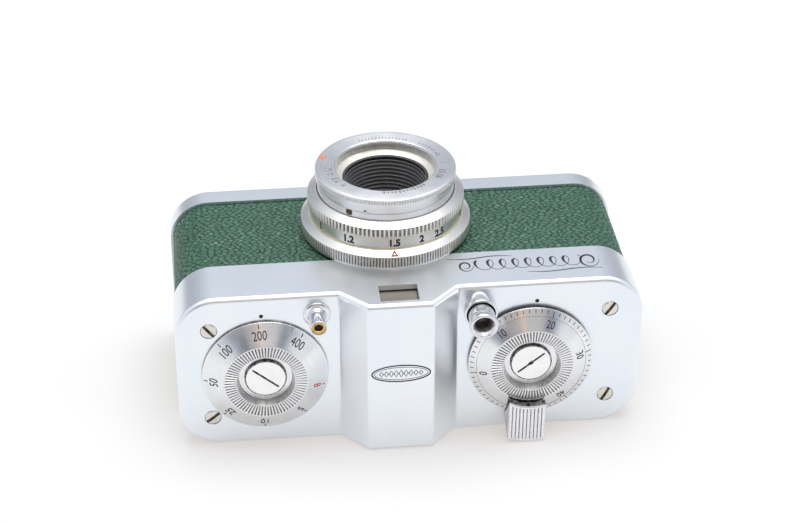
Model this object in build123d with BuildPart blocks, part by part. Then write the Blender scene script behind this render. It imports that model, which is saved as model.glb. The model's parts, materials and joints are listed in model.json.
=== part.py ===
from build123d import *

# Subminiature roll-film camera in a two-tone body: a metal top cover over a leather-clad casting,
# and a back and bottom cap that slide off together. It lies on its back, as on a table.
#
# Frame: +Z is the optical axis, towards the subject. Z = 0 is the outside of the back.
# The top plate faces -Y, and "height" below means the distance from the optical axis towards
# the top plate, so height = -Y. +X is to the right when the top plate is seen. Millimetres.

import os
from math import cos, pi, radians, sin

# ---- driving dimensions: body -------------------------------------------------------------
WIDTH = 78.0
DEPTH = 28.9
MID_X = 2.1            # the body's middle stands this far right of the optical axis
PLATE = 21.0           # height of the top plate
SKIRT = 10.6           # height of the top cover's lower edge
CAP = -10.5            # height of the bottom cap's upper edge
BOTTOM = -14.7         # height of the bottom face
CORNER = 7.0           # corner radius of the body seen from the top
WALL = 0.9             # sheet thickness of the top cover and cap
EDGE = 0.8             # rounding of the cover's outer edges
RECESS = 0.35          # the leather lies this far below the metal at the front and sides
LEATHER = 0.6
FLOOR = 1.2            # thickness of the casting's two decks
DECK = 12.4            # height of the upper deck's top, and depth of the lower deck's underside
BACK_SPLIT = 6.45      # depth at which the back meets the front, seen on the sides
GAP = 0.05             # half of the seam between parts that only meet

# ---- finder hump --------------------------------------------------------------------------
HUMP_TOP = 25.6
HUMP_FLAT = 5.4        # half widths
HUMP_FOOT = 9.9
WINDOW = (6.4, 4.7)
EYE_WINDOW = (4.6, 3.6)
FINDER = 21.75         # height of the finder's axis

# ---- controls on the top plate ------------------------------------------------------------
DIAL_X = 22.25
DIAL_Z = 13.87
DIAL_R = 10.54
HUB_R = 7.0            # flat of the dial
WELL_R = 4.88          # recess round the screw, at its top and at its floor
WELL_FOOT_R = 4.5
HUB_TOP = 23.5
WELL_FLOOR = 21.95
SPINDLE_R = 1.95
SHAFT_GAP = 0.05       # radial running clearance of shafts and sleeves
HEAD_R = 3.5           # slotted screws in the dials
POST_Z = 25.15
FLASH_X = -13.45
RELEASE_X = 13.35
TRAVEL = 1.4           # of the release button
COVER_SCREWS = [(MID_X + side * 33.36, z) for side in (-1, 1) for z in (5.55, 22.9)]
COVER_SCREW_SLOTS = (38.0, -52.0, 62.0, 55.0)   # degrees
SCREW_R = 1.36
INDEX_DOTS = ((-22.6, 25.3), (23.1, 25.3))

# ---- film transport -----------------------------------------------------------------------
MODULE = 0.3
ADVANCE_TEETH = 26
TAKEUP_TEETH = 15
TAKEUP_X = DIAL_X + MODULE * (ADVANCE_TEETH + TAKEUP_TEETH) / 2 + 0.04
GEAR_LEVEL = 13.2
GEAR_WIDTH = 1.2
GATE = (14.0, 11.0)    # picture size across X and Y
FILM_Z = 3.2           # film plane

# ---- lens ---------------------------------------------------------------------------------
BASE_R = 14.54
FOCUS_R = 13.05        # scale of the focus ring
GRIP_R = 13.34         # its knurled grip
BARREL_R = 11.62
BEZEL_R = 11.94        # aperture ring
TUBE_R = 10.4          # fixed tube that the barrel slides on
TUBE_BORE = 9.4
THREAD_R = 8.46        # filter thread
FRONT_Z = 40.6         # front of the lens
IRIS_PIVOT_R = 5.8
IRIS_FLOOR = 22.0
IRIS_BLADES = 5
SHUTTER_PIVOT_R = 7.2
SHUTTER_BLADES = 3
SHUTTER_FLOOR = 15.5

# ---- back ---------------------------------------------------------------------------------
BUSH = (-24.0, 14.0)   # tripod bush, X and Z
KEY = (28.0, 14.0)     # lock key, X and Z
BUSH_THREAD_R = 3.17


def level(height):
    """Plane square to the dial spindles. Sketches on it read X, then Z; extruding goes up."""
    return Plane.XZ.offset(height)


def spindle_plane(x, z):
    """Plane through a spindle. Sketches on it read radius, then height."""
    return Plane(origin=(x, 0, z), x_dir=(1, 0, 0), z_dir=(0, 0, -1))


def spindle_axis(x, z):
    return Axis((x, 0, z), (0, -1, 0))


def profile(*points):
    """Filled outline through the points."""
    Polygon(*points, align=None)


def body_outline(inset=0.0, mode=Mode.ADD):
    """The metal body's rounded outline seen from the top, shrunk evenly."""
    with Locations((MID_X, DEPTH / 2)):
        RectangleRounded(WIDTH - 2 * inset, DEPTH - 2 * inset, CORNER - inset, mode=mode)


def skin_outline(inset=0.0, mode=Mode.ADD):
    """The leather's outline: recessed at the front and sides, flush at the back."""
    across = WIDTH - 2 * RECESS - 2 * inset
    deep = DEPTH - RECESS - 2 * inset
    with Locations((MID_X, (DEPTH - RECESS) / 2)):
        RectangleRounded(across, deep, CORNER - RECESS - inset, mode=mode)


def keep_depth(low, high):
    """Keeps the part of a sketch between two depths."""
    with Locations((MID_X, (low + high) / 2)):
        Rectangle(WIDTH + 2, high - low, mode=Mode.INTERSECT)


def disc(spot, radius, low, high, mode=Mode.ADD):
    """Round post or hole along a spindle direction, between two heights."""
    with BuildSketch(level(low)) as section:
        with Locations(spot):
            Circle(radius)
    extrude(section.sketch, amount=high - low, mode=mode)


def slot_cut(spot, top, length, width, depth, angle):
    """Screwdriver slot in a head whose top is at that height."""
    with BuildSketch(level(top - depth)) as section:
        with Locations(spot):
            Rectangle(length, width, rotation=angle)
    extrude(section.sketch, amount=depth + 1, mode=Mode.SUBTRACT)


def save(piece, name):
    piece.part.label = name
    export_step(piece.part, f"parts/{name}.step")


os.makedirs("parts", exist_ok=True)

# =========================== fixed body ====================================================

# Die casting: a U-shaped wall, open to the back.
WALL_INSET = LEATHER + 1.6
FRONT_INSIDE = DEPTH - RECESS - WALL_INSET
with BuildPart() as main_casting:
    with BuildSketch(level(-DECK)):
        skin_outline(LEATHER)
        skin_outline(WALL_INSET, mode=Mode.SUBTRACT)
        keep_depth(BACK_SPLIT + GAP, DEPTH)
    extrude(amount=2 * DECK)
    with BuildSketch(Plane.XY.offset(FRONT_INSIDE - 0.3)):
        Circle(TUBE_R + 0.08)
    extrude(amount=4, mode=Mode.SUBTRACT)
save(main_casting, "main_casting")

# Lower deck: it stops short of the back, so that the pressure plate can slide out past it.
with BuildPart() as lower_deck:
    with BuildSketch(level(-DECK)):
        skin_outline(WALL_INSET)
        keep_depth(FILM_Z + 0.15, DEPTH)
    extrude(amount=FLOOR)
    disc(BUSH, 6.2, -DECK, -9.6)
    disc(BUSH, 5.1, -DECK, -10.2, mode=Mode.SUBTRACT)
    disc(KEY, 4.4, -DECK - 1, -DECK + FLOOR + 1, mode=Mode.SUBTRACT)
save(lower_deck, "lower_deck")

# Mechanism plate: the upper deck, with a pillar for each cover screw and the spindles' bearings.
with BuildPart() as mechanism_plate:
    with BuildSketch(level(DECK - FLOOR)):
        skin_outline(WALL_INSET)
    extrude(amount=FLOOR)
    for spot in COVER_SCREWS:
        disc(spot, 1.9, DECK - 0.2, PLATE - WALL - GAP)
        disc(spot, 0.75, DECK + 1.6, PLATE, mode=Mode.SUBTRACT)
    for x in (-DIAL_X, DIAL_X):
        disc((x, DIAL_Z), 0.9 + SHAFT_GAP, DECK - FLOOR - 1, DECK + 1, mode=Mode.SUBTRACT)
    disc((TAKEUP_X, DIAL_Z), 1.2 + SHAFT_GAP, DECK - FLOOR - 1, DECK + 1, mode=Mode.SUBTRACT)
save(mechanism_plate, "mechanism_plate")

# Light chamber: two walls that shut the light path off from the film chambers, and a frame
# between them behind the shutter.
CHAMBER_X = 11.2       # inside half width
CHAMBER_WALL = 1.2
with BuildPart() as light_chamber:
    tall = 2 * (DECK - FLOOR)
    chamber_back = FILM_Z + 1.0
    with BuildSketch(level(-DECK + FLOOR)):
        for side in (-1, 1):
            middle = (side * (CHAMBER_X + CHAMBER_WALL / 2), (chamber_back + FRONT_INSIDE) / 2)
            with Locations(middle):
                Rectangle(CHAMBER_WALL, FRONT_INSIDE - chamber_back)
    extrude(amount=tall)
    with BuildSketch(Plane.XY.offset(13.6)):
        Rectangle(2 * CHAMBER_X, tall)
        Rectangle(GATE[0] + 0.6, GATE[1] + 0.6, mode=Mode.SUBTRACT)
    extrude(amount=1.2)
save(light_chamber, "light_chamber")

# Top cover: one drawn shell with the finder hump, pierced for the controls.
with BuildPart() as top_cover:
    with BuildSketch(level(SKIRT)):
        body_outline()
    extrude(amount=PLATE - SKIRT)
    with BuildSketch(Plane.XY):
        profile((-HUMP_FOOT, -PLATE + 1), (-HUMP_FOOT, -PLATE), (-HUMP_FLAT, -HUMP_TOP),
                (HUMP_FLAT, -HUMP_TOP), (HUMP_FOOT, -PLATE), (HUMP_FOOT, -PLATE + 1))
    extrude(amount=DEPTH)
    upper = top_cover.edges().filter_by(lambda e: e.center().Y < -PLATE + 0.01)
    fillet(upper, EDGE)
    with BuildSketch(level(SKIRT - 1)):
        body_outline(WALL)
    extrude(amount=PLATE - WALL - SKIRT + 1, mode=Mode.SUBTRACT)
    slope = (HUMP_FOOT - HUMP_FLAT) / (HUMP_TOP - PLATE)
    foot_in, flat_in = HUMP_FOOT - 1.1, HUMP_FLAT - 1.1 + slope * WALL
    with BuildSketch(Plane.XY.offset(WALL)):
        profile((-foot_in, -PLATE + WALL + 1), (-foot_in, -PLATE), (-flat_in, -HUMP_TOP + WALL),
                (flat_in, -HUMP_TOP + WALL), (foot_in, -PLATE), (foot_in, -PLATE + WALL + 1))
    extrude(amount=DEPTH - 2 * WALL, mode=Mode.SUBTRACT)
    for depth, size in ((DEPTH - WALL - 0.5, WINDOW), (-0.5, EYE_WINDOW)):
        with BuildSketch(Plane.XY.offset(depth)):
            with Locations((0, -FINDER)):
                Rectangle(*size)
        extrude(amount=WALL + 1, mode=Mode.SUBTRACT)
    for x in (-DIAL_X, DIAL_X):
        disc((x, DIAL_Z), SPINDLE_R + SHAFT_GAP, PLATE - 2, PLATE + 1, mode=Mode.SUBTRACT)
    disc((FLASH_X, POST_Z), 1.2, PLATE - 2, PLATE + 1, mode=Mode.SUBTRACT)
    disc((RELEASE_X, POST_Z), 1.6, PLATE - 2, PLATE + 1, mode=Mode.SUBTRACT)
    for spot in COVER_SCREWS:
        disc(spot, 0.8, PLATE - 2, PLATE + 1, mode=Mode.SUBTRACT)
        disc(spot, SCREW_R + 0.06, PLATE - 0.5, PLATE + 1, mode=Mode.SUBTRACT)
    for spot in INDEX_DOTS:
        disc(spot, 0.36, PLATE - 0.15, PLATE + 1, mode=Mode.SUBTRACT)
save(top_cover, "top_cover")

# Leather round the front and sides, in two panels that meet under the lens ring.
with BuildPart() as front_leather:
    with BuildSketch(level(CAP + GAP)):
        skin_outline()
        skin_outline(LEATHER, mode=Mode.SUBTRACT)
        keep_depth(BACK_SPLIT + GAP, DEPTH)
    extrude(amount=SKIRT - CAP - 2 * GAP)
    with BuildSketch(Plane.XY.offset(DEPTH - 4)):
        Circle(BASE_R - 1)
    extrude(amount=6, mode=Mode.SUBTRACT)
save(front_leather, "front_leather")

# Four slotted screws that hold the cover to the casting's pillars.
with BuildPart() as cover_screws:
    for spot, angle in zip(COVER_SCREWS, COVER_SCREW_SLOTS):
        disc(spot, SCREW_R, PLATE - 0.45, PLATE + 0.1)
        disc(spot, 0.7, PLATE - 3.5, PLATE - 0.45)
        slot_cut(spot, PLATE + 0.1, 4, 0.45, 0.35, angle)
save(cover_screws, "cover_screws")

with BuildPart() as index_dots:
    for spot in INDEX_DOTS:
        disc(spot, 0.34, PLATE - 0.14, PLATE + 0.02)
save(index_dots, "index_dots")

# Finder: a light tube with an objective and an eyepiece.
with BuildPart() as finder_tube:
    with BuildSketch(Plane.XY.offset(WALL + GAP)):
        with Locations((0, -FINDER)):
            Rectangle(WINDOW[0] + 1.2, WINDOW[1] + 1.1)
            Rectangle(*WINDOW, mode=Mode.SUBTRACT)
    extrude(amount=DEPTH - 2 * WALL - 2 * GAP)
save(finder_tube, "finder_tube")

for name, depth, thickness, hollow in (("finder_objective", 26.5, 1.2, 11.0),
                                       ("finder_eyepiece", 1.6, 1.4, 0.0)):
    with BuildPart() as finder_glass:
        with BuildSketch(Plane.XY.offset(depth)):
            with Locations((0, -FINDER)):
                Rectangle(WINDOW[0] - 0.1, WINDOW[1] - 0.1)
        extrude(amount=thickness)
        if hollow:
            with Locations((0, -FINDER, depth + 0.5 - hollow)):
                Sphere(hollow, mode=Mode.SUBTRACT)
    save(finder_glass, name)

# Picture frame behind the light chamber, with two rails that the film slides on.
with BuildPart() as film_gate:
    with BuildSketch(Plane.XY.offset(FILM_Z)):
        Rectangle(24.8, 22.0)
        Rectangle(*GATE, mode=Mode.SUBTRACT)
    extrude(amount=1.0 - GAP)
    with BuildSketch(Plane.XY.offset(FILM_Z - 0.2)):
        with Locations((0, -9.0), (0, 9.0)):
            Rectangle(24.8, 0.8)
    extrude(amount=0.25)
save(film_gate, "film_gate")

# Flash contact: a shell riveted through the plate, a brass ring and an insulating core.
flash = (FLASH_X, POST_Z)
with BuildPart() as flash_shell:
    with BuildSketch(spindle_plane(*flash)):
        profile((0, 19.8), (1.15, 19.8), (1.15, PLATE), (2.29, PLATE), (2.29, PLATE + 0.35),
                (2.1, PLATE + 0.5), (1.4, PLATE + 0.5), (1.4, 25.25), (1.32, 25.4), (1.2, 25.4),
                (1.2, PLATE + 0.6), (0, PLATE + 0.6))
    revolve(axis=spindle_axis(*flash))
save(flash_shell, "flash_shell")

with BuildPart() as flash_contact:
    with BuildSketch(spindle_plane(*flash)):
        profile((0.62, 22.0), (1.17, 22.0), (1.17, 25.25), (1.0, 25.35), (0.8, 25.35), (0.62, 25.2))
    revolve(axis=spindle_axis(*flash))
save(flash_contact, "flash_contact")

with BuildPart() as flash_insulator:
    disc(flash, 0.58, 21.65, 24.7)
save(flash_insulator, "flash_insulator")

# Collar that guides the release button.
release = (RELEASE_X, POST_Z)
STEM_R = 1.0
BUTTON_R = 2.2
with BuildPart() as release_collar:
    bore = STEM_R + SHAFT_GAP
    with BuildSketch(spindle_plane(*release)):
        profile((bore, 20.1), (1.55, 20.1), (1.55, PLATE), (2.8, PLATE), (2.8, 23.75),
                (2.7, 24.0), (2.45, 24.0), (2.45, 23.0), (BUTTON_R + SHAFT_GAP, 22.7),
                (BUTTON_R + SHAFT_GAP, 21.5), (bore, 21.5))
    revolve(axis=spindle_axis(*release))
save(release_collar, "release_collar")

# =========================== lens: fixed pieces ============================================

with BuildPart() as base_ring:
    with BuildSketch(Plane.XZ):
        profile((TUBE_R + GAP, DEPTH), (BASE_R, DEPTH), (BASE_R, 31.1), (13.1, 32.0),
                (TUBE_R + GAP, 32.0))
    revolve(axis=Axis.Z)
save(base_ring, "base_ring")

with BuildPart() as lens_tube:
    with BuildSketch(Plane.XZ):
        profile((TUBE_BORE, 19.3), (TUBE_R, 19.3), (TUBE_R, 25.1), (11.0, 25.1), (11.0, 26.3),
                (TUBE_R, 26.3), (TUBE_R, 35.4), (TUBE_BORE, 35.4))
    revolve(axis=Axis.Z)
save(lens_tube, "lens_tube")

# Shutter behind the lens: a cup, a front plate with the blade pins, and three blades.
with BuildPart() as shutter_case:
    with BuildSketch(Plane.XZ):
        profile((3.6, 14.9), (TUBE_R, 14.9), (TUBE_R, 18.6), (9.9, 18.6), (9.9, SHUTTER_FLOOR),
                (3.6, SHUTTER_FLOOR))
    revolve(axis=Axis.Z)
save(shutter_case, "shutter_case")

with BuildPart() as shutter_plate:
    with BuildSketch(Plane.XY.offset(18.6)):
        Circle(TUBE_R)
        Circle(3.6, mode=Mode.SUBTRACT)
    extrude(amount=0.65)
    with BuildSketch(Plane.XY.offset(SHUTTER_FLOOR + 0.1)):
        with PolarLocations(SHUTTER_PIVOT_R, SHUTTER_BLADES):
            Circle(0.5)
    extrude(amount=18.7 - SHUTTER_FLOOR - 0.1)
save(shutter_plate, "shutter_plate")

for index in range(SHUTTER_BLADES):
    turn = 360 * index / SHUTTER_BLADES
    cover = (1.3 * cos(radians(turn)), 1.3 * sin(radians(turn)))
    pivot = (SHUTTER_PIVOT_R * cos(radians(turn)), SHUTTER_PIVOT_R * sin(radians(turn)))
    with BuildPart() as shutter_blade:
        with BuildSketch(Plane.XY.offset(SHUTTER_FLOOR + 0.5 + 0.6 * index)):
            with Locations(cover):
                Circle(3.1)
            with Locations(pivot):
                Circle(1.1)
            make_hull()
            with Locations(pivot):
                Circle(0.5 + SHAFT_GAP, mode=Mode.SUBTRACT)
        extrude(amount=0.2)
    save(shutter_blade, f"shutter_blade_{index + 1}")

# =========================== lens: moving pieces ===========================================

# Focus ring: engraved skirt, knurled grip and a bevel up to the barrel.
with BuildPart() as focus_ring:
    with BuildSketch(Plane.XZ):
        profile((TUBE_R + 0.07, 32.1), (FOCUS_R, 32.1), (FOCUS_R, 34.5), (GRIP_R, 34.5),
                (GRIP_R, 35.8), (11.95, 36.6), (BARREL_R + 0.1, 36.6), (BARREL_R + 0.1, 33.0),
                (TUBE_R + 0.07, 33.0))
    revolve(axis=Axis.Z)
save(focus_ring, "focus_ring")

# Barrel and lens cell in one: it slides on the fixed tube and carries the glasses and iris.
GLASS_R = 4.1
CELL_BACK = 19.8
SCREW_HOLE_R = 0.6
SCREW_AT = radians(-37)         # set screw, round from the side that faces the top plate
screw_plane = Plane(origin=(0, 0, 37.4), x_dir=(cos(SCREW_AT), sin(SCREW_AT), 0),
                    z_dir=(sin(SCREW_AT), -cos(SCREW_AT), 0))
with BuildPart() as lens_barrel:
    with BuildSketch(Plane.XZ):
        profile((BARREL_R, 33.5), (BARREL_R, 38.85), (8.85, 38.85), (8.85, 40.5),
                (8.75, FRONT_Z), (8.56, FRONT_Z), (THREAD_R, 40.5), (THREAD_R, 38.85), (7.25, 38.5),
                (7.25, 27.4), (GLASS_R, 27.4), (GLASS_R, IRIS_FLOOR + 0.9),
                (7.9, IRIS_FLOOR + 0.9), (7.9, IRIS_FLOOR), (3.0, IRIS_FLOOR),
                (3.0, IRIS_FLOOR - 0.3), (GLASS_R, IRIS_FLOOR - 0.3), (GLASS_R, CELL_BACK),
                (TUBE_BORE - 0.08, CELL_BACK), (TUBE_BORE - 0.08, 36.0),
                (TUBE_R + 0.06, 36.0), (TUBE_R + 0.06, 33.5))
    revolve(axis=Axis.Z)
    with BuildSketch(Plane.XY.offset(IRIS_FLOOR - 0.1)):
        with PolarLocations(IRIS_PIVOT_R, IRIS_BLADES):
            Circle(0.35)
    extrude(amount=1.1)
    with BuildSketch(screw_plane.offset(BARREL_R - 2.7)):
        Circle(SCREW_HOLE_R)
    extrude(amount=3, mode=Mode.SUBTRACT)
save(lens_barrel, "lens_barrel")

with BuildPart() as barrel_screw:
    with BuildSketch(screw_plane.offset(BARREL_R - 1.4)):
        Circle(SCREW_HOLE_R - 0.05)
    extrude(amount=0.9)
    with BuildSketch(screw_plane.offset(BARREL_R - 0.5)):
        Circle(SCREW_HOLE_R - 0.05)
        Rectangle(2, 0.2, mode=Mode.SUBTRACT)
    extrude(amount=0.25)
save(barrel_screw, "barrel_screw")

# Stepped light baffle in front of the first glass.
BAFFLE_STEPS = 17
with BuildPart() as lens_baffle:
    with BuildSketch(Plane.XZ):
        rise = 10.95 / BAFFLE_STEPS
        inside = []
        for step in range(BAFFLE_STEPS):
            radius = 4.3 + 2.65 * step / (BAFFLE_STEPS - 1)
            inside += [(radius, 27.5 + step * rise), (radius, 27.5 + (step + 1) * rise - 0.03)]
        profile(*inside, (7.2, inside[-1][1]), (7.2, 27.5))
    revolve(axis=Axis.Z)
save(lens_baffle, "lens_baffle")


def lens_element(name, low, high, rim, low_radius, high_radius):
    """Glass between two heights on the optical axis. A positive radius bulges outwards."""
    with BuildPart() as element:
        with BuildSketch(Plane.XY.offset(low)):
            Circle(rim)
        extrude(amount=high - low)
        for depth, radius, outwards in ((low, low_radius, -1), (high, high_radius, 1)):
            if radius > 0:
                with Locations((0, 0, depth - outwards * radius)):
                    Sphere(radius, mode=Mode.INTERSECT)
            elif radius < 0:
                bite = 0.3
                with Locations((0, 0, depth + outwards * (-radius - bite))):
                    Sphere(-radius, mode=Mode.SUBTRACT)
    save(element, name)


lens_element("front_element", 25.3, 27.3, 4.05, 14.0, 9.0)
lens_element("middle_element", 23.4, 24.6, 4.05, -9.0, -12.0)
lens_element("rear_element", 19.9, 21.6, 4.05, 10.0, 16.0)

for index in range(IRIS_BLADES):
    turn = 360 * index / IRIS_BLADES
    with BuildPart() as iris_blade:
        with BuildSketch(Plane.XY.offset(IRIS_FLOOR + 0.08 + 0.15 * index)):
            Circle(7.1)
            Circle(4.5, mode=Mode.SUBTRACT)
            reach = 12
            angles = [turn - 12, turn + 20, turn + 56]
            fan = [(reach * cos(radians(a)), reach * sin(radians(a))) for a in angles]
            Polygon((0, 0), *fan, align=None, mode=Mode.INTERSECT)
            with Locations((IRIS_PIVOT_R * cos(radians(turn)), IRIS_PIVOT_R * sin(radians(turn)))):
                Circle(0.35 + SHAFT_GAP, mode=Mode.SUBTRACT)
        extrude(amount=0.1)
    save(iris_blade, f"iris_blade_{index + 1}")

with BuildPart() as aperture_ring:
    with BuildSketch(Plane.XZ):
        profile((8.92, 38.95), (BEZEL_R, 38.95), (BEZEL_R, FRONT_Z - 0.25),
                (BEZEL_R - 0.25, FRONT_Z), (8.92, FRONT_Z))
    revolve(axis=Axis.Z)
save(aperture_ring, "aperture_ring")

# =========================== dials, lever and film drive ===================================


def dial(name, x, bore, rim_low, rim_high):
    """Dial with a conical flange, a flat hub and a recess round its screw."""
    with BuildPart() as piece:
        with BuildSketch(spindle_plane(x, DIAL_Z)):
            profile((bore, rim_low), (DIAL_R, rim_low), (DIAL_R, rim_high), (HUB_R, HUB_TOP),
                    (WELL_R, HUB_TOP), (WELL_FOOT_R, WELL_FLOOR), (bore, WELL_FLOOR))
        revolve(axis=spindle_axis(x, DIAL_Z))
    save(piece, name)


def spindle(name, x):
    """Shaft from the dial down to its pilot in the upper deck, tapped at the top."""
    with BuildPart() as piece:
        with BuildSketch(spindle_plane(x, DIAL_Z)):
            profile((0, DECK - FLOOR), (0.9, DECK - FLOOR), (0.9, DECK + GAP),
                    (SPINDLE_R, DECK + GAP), (SPINDLE_R, WELL_FLOOR), (1.0, WELL_FLOOR),
                    (1.0, 18.0), (0, 18.0))
        revolve(axis=spindle_axis(x, DIAL_Z))
    save(piece, name)


def spindle_screw(name, x, angle):
    spot = (x, DIAL_Z)
    with BuildPart() as piece:
        disc(spot, HEAD_R, WELL_FLOOR + GAP, 22.45)
        disc(spot, 0.95, 18.3, WELL_FLOOR + GAP)
        slot_cut(spot, 22.45, 9, 0.4, 0.3, angle)
    save(piece, name)


HUB_BORE = SPINDLE_R + 0.01     # pieces fixed on a spindle
dial("speed_dial", -DIAL_X, HUB_BORE, PLATE + 0.08, PLATE + 0.45)
spindle("speed_spindle", -DIAL_X)
spindle_screw("speed_screw", -DIAL_X, -40.0)
with BuildPart() as speed_cam:
    spot = (-DIAL_X, DIAL_Z)
    with BuildSketch(level(14.0)):
        with Locations(spot):
            Circle(6.0)
            with PolarLocations(6.0, 8):
                Circle(0.7, mode=Mode.SUBTRACT)
            Circle(HUB_BORE, mode=Mode.SUBTRACT)
    extrude(amount=1.2)
save(speed_cam, "speed_cam")

dial("counter_dial", DIAL_X, SPINDLE_R + SHAFT_GAP, PLATE + 0.5, PLATE + 0.75)
spindle("advance_spindle", DIAL_X)
spindle_screw("advance_screw", DIAL_X, 38.5)

# Advance lever: a thin arm under the counter dial, and a ribbed thumb pad over its flange.
PAD_WIDTH = 6.6
PAD_IN = 7.2           # radii from the spindle
PAD_OUT = 13.8
RIDGES = 10
LEVER_REST = radians(-4.2)      # the lever rests this far round from straight back
ARM_LOW, ARM_TOP = PLATE + 0.07, PLATE + 0.4
across = (cos(LEVER_REST), 0, sin(LEVER_REST))
lever_plane = Plane(origin=(DIAL_X, 0, DIAL_Z), x_dir=across, z_dir=(0, -1, 0))
side_plane = Plane(origin=(DIAL_X, 0, DIAL_Z), x_dir=-lever_plane.y_dir, z_dir=-lever_plane.x_dir)
with BuildPart() as advance_lever:
    with BuildSketch(lever_plane.offset(ARM_LOW)):
        Circle(3.4)
        with Locations((0, -6.1)):
            Rectangle(PAD_WIDTH, 12.2)
        Circle(HUB_BORE, mode=Mode.SUBTRACT)
    extrude(amount=ARM_TOP - ARM_LOW)
    with BuildSketch(side_plane):
        profile((6.4, 23.66), (7.0, 23.66), (10.8, 21.85), (10.8, ARM_LOW), (12.2, ARM_LOW),
                (14.0, 24.6), (14.0, 25.4), (13.4, 26.0), (6.4, 24.9))
    extrude(amount=PAD_WIDTH / 2, both=True)
    with BuildSketch(lever_plane.offset(ARM_LOW - 1)):
        Circle(PAD_OUT)
    extrude(amount=8, mode=Mode.INTERSECT)
    with BuildSketch(lever_plane.offset(ARM_TOP + 0.1)):
        Circle(PAD_IN)
    extrude(amount=6, mode=Mode.SUBTRACT)
    pitch = PAD_WIDTH / RIDGES
    for groove in range(1, RIDGES):
        with BuildSketch(side_plane.offset(-PAD_WIDTH / 2 + groove * pitch)):
            profile((8.0, 24.95), (13.3, 25.78), (13.7, 25.3), (14.2, 25.3), (14.2, 26.6),
                    (8.0, 26.6))
        extrude(amount=0.12, both=True, mode=Mode.SUBTRACT)
save(advance_lever, "advance_lever")


def gear_outline(teeth, centre, turn):
    """Spur gear with straight-flanked teeth that are a little thin, so that a pair runs free."""
    pitch_r = MODULE * teeth / 2
    root_r = pitch_r - 1.25 * MODULE
    tip_r = pitch_r + 0.9 * MODULE
    step = 2 * pi / teeth
    points = []
    for tooth in range(teeth):
        middle = radians(turn) + tooth * step
        for radius, half in ((root_r, 0.33), (pitch_r, 0.21), (tip_r, 0.10)):
            points.append((radius, middle - half * step))
        for radius, half in ((tip_r, 0.10), (pitch_r, 0.21), (root_r, 0.33)):
            points.append((radius, middle + half * step))
    corners = [(centre[0] + r * cos(a), centre[1] + r * sin(a)) for r, a in points]
    Polygon(*corners, align=None)


def gear(name, teeth, x, bore, turn):
    with BuildPart() as piece:
        with BuildSketch(level(GEAR_LEVEL)):
            gear_outline(teeth, (x, DIAL_Z), turn)
            with Locations((x, DIAL_Z)):
                Circle(bore, mode=Mode.SUBTRACT)
        extrude(amount=GEAR_WIDTH)
    save(piece, name)


TAKEUP_R = 1.2
gear("advance_gear", ADVANCE_TEETH, DIAL_X, HUB_BORE, 0)
gear("takeup_gear", TAKEUP_TEETH, TAKEUP_X, TAKEUP_R + 0.01, 180 + 180 / TAKEUP_TEETH)

# Take-up shaft with the winged dog that turns the film spool.
with BuildPart() as takeup_shaft:
    spot = (TAKEUP_X, DIAL_Z)
    disc(spot, TAKEUP_R, DECK - FLOOR - 0.5, 15.0)
    disc(spot, 2.1, 7.2, DECK - FLOOR - 0.1)
    with BuildSketch(level(8.2)):
        with Locations(spot):
            Rectangle(5.8, 0.8)
    extrude(amount=2.6)
save(takeup_shaft, "takeup_shaft")

# =========================== release button ================================================

with BuildPart() as release_button:
    with BuildSketch(spindle_plane(*release)):
        profile((0, 16.0), (STEM_R, 16.0), (STEM_R, 23.4), (BUTTON_R, 23.4), (BUTTON_R, 26.0),
                (2.38, 26.9), (2.38, 27.55), (2.2, 27.75), (1.85, 27.75), (1.35, 27.3),
                (1.35, 24.3), (0, 24.3))
    revolve(axis=spindle_axis(*release))
save(release_button, "release_button")

with BuildPart() as release_clip:
    with BuildSketch(level(19.55)):
        with Locations(release):
            Circle(1.7)
            Circle(STEM_R + 0.01, mode=Mode.SUBTRACT)
            with Locations((0, -1.2)):
                Rectangle(1.0, 1.4, mode=Mode.SUBTRACT)
    extrude(amount=0.4)
save(release_clip, "release_clip")

WIRE_R = 0.12
with BuildPart() as release_spring:
    with BuildLine():
        coil = Helix(0.42, 1.5, 1.5, center=(RELEASE_X, -21.7, POST_Z), direction=(0, -1, 0))
    with BuildSketch(Plane(origin=coil @ 0, z_dir=coil % 0)):
        Circle(WIRE_R)
    sweep(is_frenet=True)
save(release_spring, "release_spring")

# =========================== back, which slides off downwards ==============================

with BuildPart() as back_cover:
    with BuildSketch(level(BOTTOM)):
        body_outline()
    extrude(amount=CAP - BOTTOM)
    lower = back_cover.edges().filter_by(lambda e: e.center().Y > -BOTTOM - 0.01)
    fillet(lower, EDGE)
    with BuildSketch(level(BOTTOM + FLOOR)):
        body_outline(WALL)
    extrude(amount=CAP - BOTTOM, mode=Mode.SUBTRACT)
    with BuildSketch(level(CAP - 1.0)):
        skin_outline(LEATHER)
        skin_outline(LEATHER + WALL, mode=Mode.SUBTRACT)
        keep_depth(0, BACK_SPLIT - GAP)
    extrude(amount=SKIRT - GAP - CAP + 1.0)
    with BuildSketch(level(SKIRT - 1.6)):
        skin_outline(LEATHER + 0.5)
        skin_outline(LEATHER + 1.1, mode=Mode.SUBTRACT)
        keep_depth(0, BACK_SPLIT - GAP)
    extrude(amount=3.2)
    disc(BUSH, 4.85, BOTTOM - 1, BOTTOM + 2, mode=Mode.SUBTRACT)
    disc(KEY, 5.6, BOTTOM - 1, BOTTOM + 0.75, mode=Mode.SUBTRACT)
    disc(KEY, 1.5 + SHAFT_GAP, BOTTOM - 1, BOTTOM + 2, mode=Mode.SUBTRACT)
save(back_cover, "back_cover")

with BuildPart() as back_leather:
    with BuildSketch(level(CAP + GAP)):
        skin_outline()
        skin_outline(LEATHER, mode=Mode.SUBTRACT)
        keep_depth(0, BACK_SPLIT - GAP)
    extrude(amount=SKIRT - CAP - 2 * GAP)
save(back_leather, "back_leather")

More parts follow.
